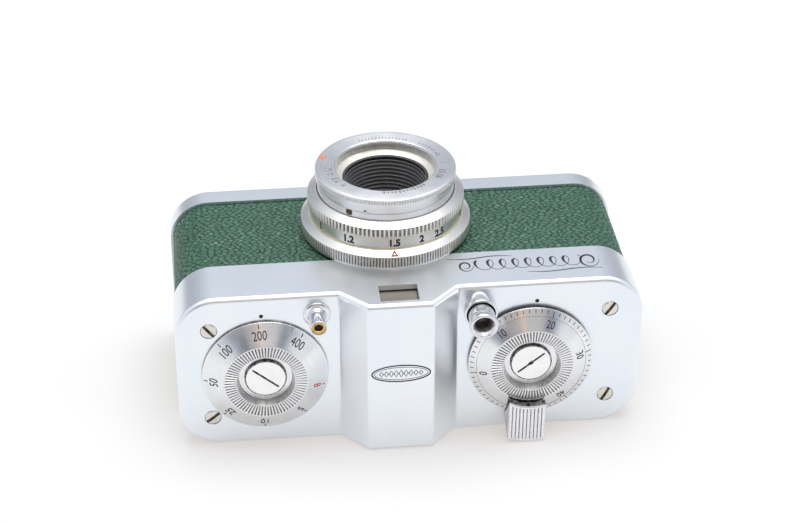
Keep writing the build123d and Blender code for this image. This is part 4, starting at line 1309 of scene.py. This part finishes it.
def studio():
    """White surround, greyer behind the camera body's front, darker in front of the top plate."""
    world = bpy.data.worlds.new("studio")
    bpy.context.scene.world = world
    world.use_nodes = True
    graph = Graph(world.node_tree)
    graph.tree.nodes.clear()
    math, times, ramp, mix = graph.math, graph.times, graph.ramp, graph.blend
    place = graph.add("TexCoord").outputs["Generated"]
    split = graph.add("SeparateXYZ", (place,))
    elevation = times(math("ARCSINE", split.outputs["Z"]), 180 / pi)
    minus_y = times(split.outputs["Y"], -1.0)
    azimuth = times(math("ARCTAN2", split.outputs["X"], minus_y), 180 / pi)
    far_side = ramp(elevation, -10, 90, (
        (-10, (0.50, 0.50, 0.53)), (5, (0.38, 0.39, 0.43)), (22, (0.45, 0.47, 0.52)),
        (36, (0.54, 0.57, 0.63)), (52, (0.92, 0.95, 1.0)), (66, (1.0, 1.0, 1.0)),
        (90, (1.0, 1.0, 1.0))))
    flanks = ramp(elevation, -10, 90, (
        (-10, (0.9, 0.9, 0.9)), (10, (0.82, 0.84, 0.88)), (60, (1.0, 1.0, 1.0))))
    near_side = ramp(azimuth, -60, 60, (
        (-60, (0.95, 0.96, 1.0)), (-46, (0.90, 0.92, 0.96)), (-41, (0.28, 0.31, 0.37)),
        (-27, (0.16, 0.18, 0.22)), (-23, (0.40, 0.37, 0.37)), (-6, (0.50, 0.46, 0.45)),
        (-4.5, (0.85, 0.58, 0.42)), (-1.5, (0.85, 0.58, 0.42)), (0, (0.56, 0.53, 0.52)),
        (24, (0.50, 0.48, 0.49)), (28, (0.13, 0.15, 0.19)), (36, (0.30, 0.34, 0.40)),
        (43, (0.92, 0.94, 0.97)), (60, (0.95, 0.96, 1.0))))
    high_up = ramp(elevation, 0, 90, ((0, (0, 0, 0)), (38, (0, 0, 0)), (52, (1, 1, 1))))
    white = ramp(elevation, 0, 90, ((0, (1, 1, 1)), (90, (1, 1, 1))))
    near_side = mix(high_up, near_side, white)
    turned = math("ABSOLUTE", azimuth)
    to_flank = ramp(turned, 0, 180, ((50, (0, 0, 0)), (60, (1, 1, 1))))
    to_far = ramp(turned, 0, 180, ((100, (0, 0, 0)), (140, (1, 1, 1))))
    sky = mix(to_far, mix(to_flank, near_side, flanks), far_side)
    gain = ramp(elevation, 0, 90, ((0, (0.5, 0.5, 0.5)), (45, (0.52, 0.52, 0.52)),
                                   (75, (0.75, 0.75, 0.75)), (90, (0.75, 0.75, 0.75))))
    light = graph.add("Background", (sky, times(gain, 2.0)))
    graph.add("OutputWorld", (light.outputs[0],))


def softbox(name, place, aim, size, power, tint):
    light = bpy.data.lights.new(name, "AREA")
    light.shape = "RECTANGLE"
    light.size, light.size_y = size
    light.energy = power
    light.color = tint
    lamp = bpy.data.objects.new(name, light)
    lamp.location = place
    lamp.rotation_mode = "QUATERNION"
    lamp.rotation_quaternion = (Vector(aim) - Vector(place)).to_track_quat("-Z", "Y")
    bpy.context.scene.collection.objects.link(lamp)


def camera():
    data = bpy.data.cameras.new("camera")
    data.sensor_width = 36.0
    data.lens = 100.5
    data.clip_start, data.clip_end = 0.01, 20.0
    view = bpy.data.objects.new("camera", data)
    view.location = (-0.03215, -0.3206, 0.2233)
    view.rotation_mode = "QUATERNION"
    view.rotation_quaternion = Vector((0.0877, 0.8428, -0.5311)).to_track_quat("-Z", "Y")
    bpy.context.scene.collection.objects.link(view)
    bpy.context.scene.camera = view


stage()
studio()
softbox("top_light", (0.05, 0.12, 0.75), (0, 0, 0.02), (0.7, 0.5), 4.0, (1.0, 0.99, 0.97))
camera()
bpy.context.scene.view_settings.view_transform = "Standard"

bpy.context.view_layer.update()
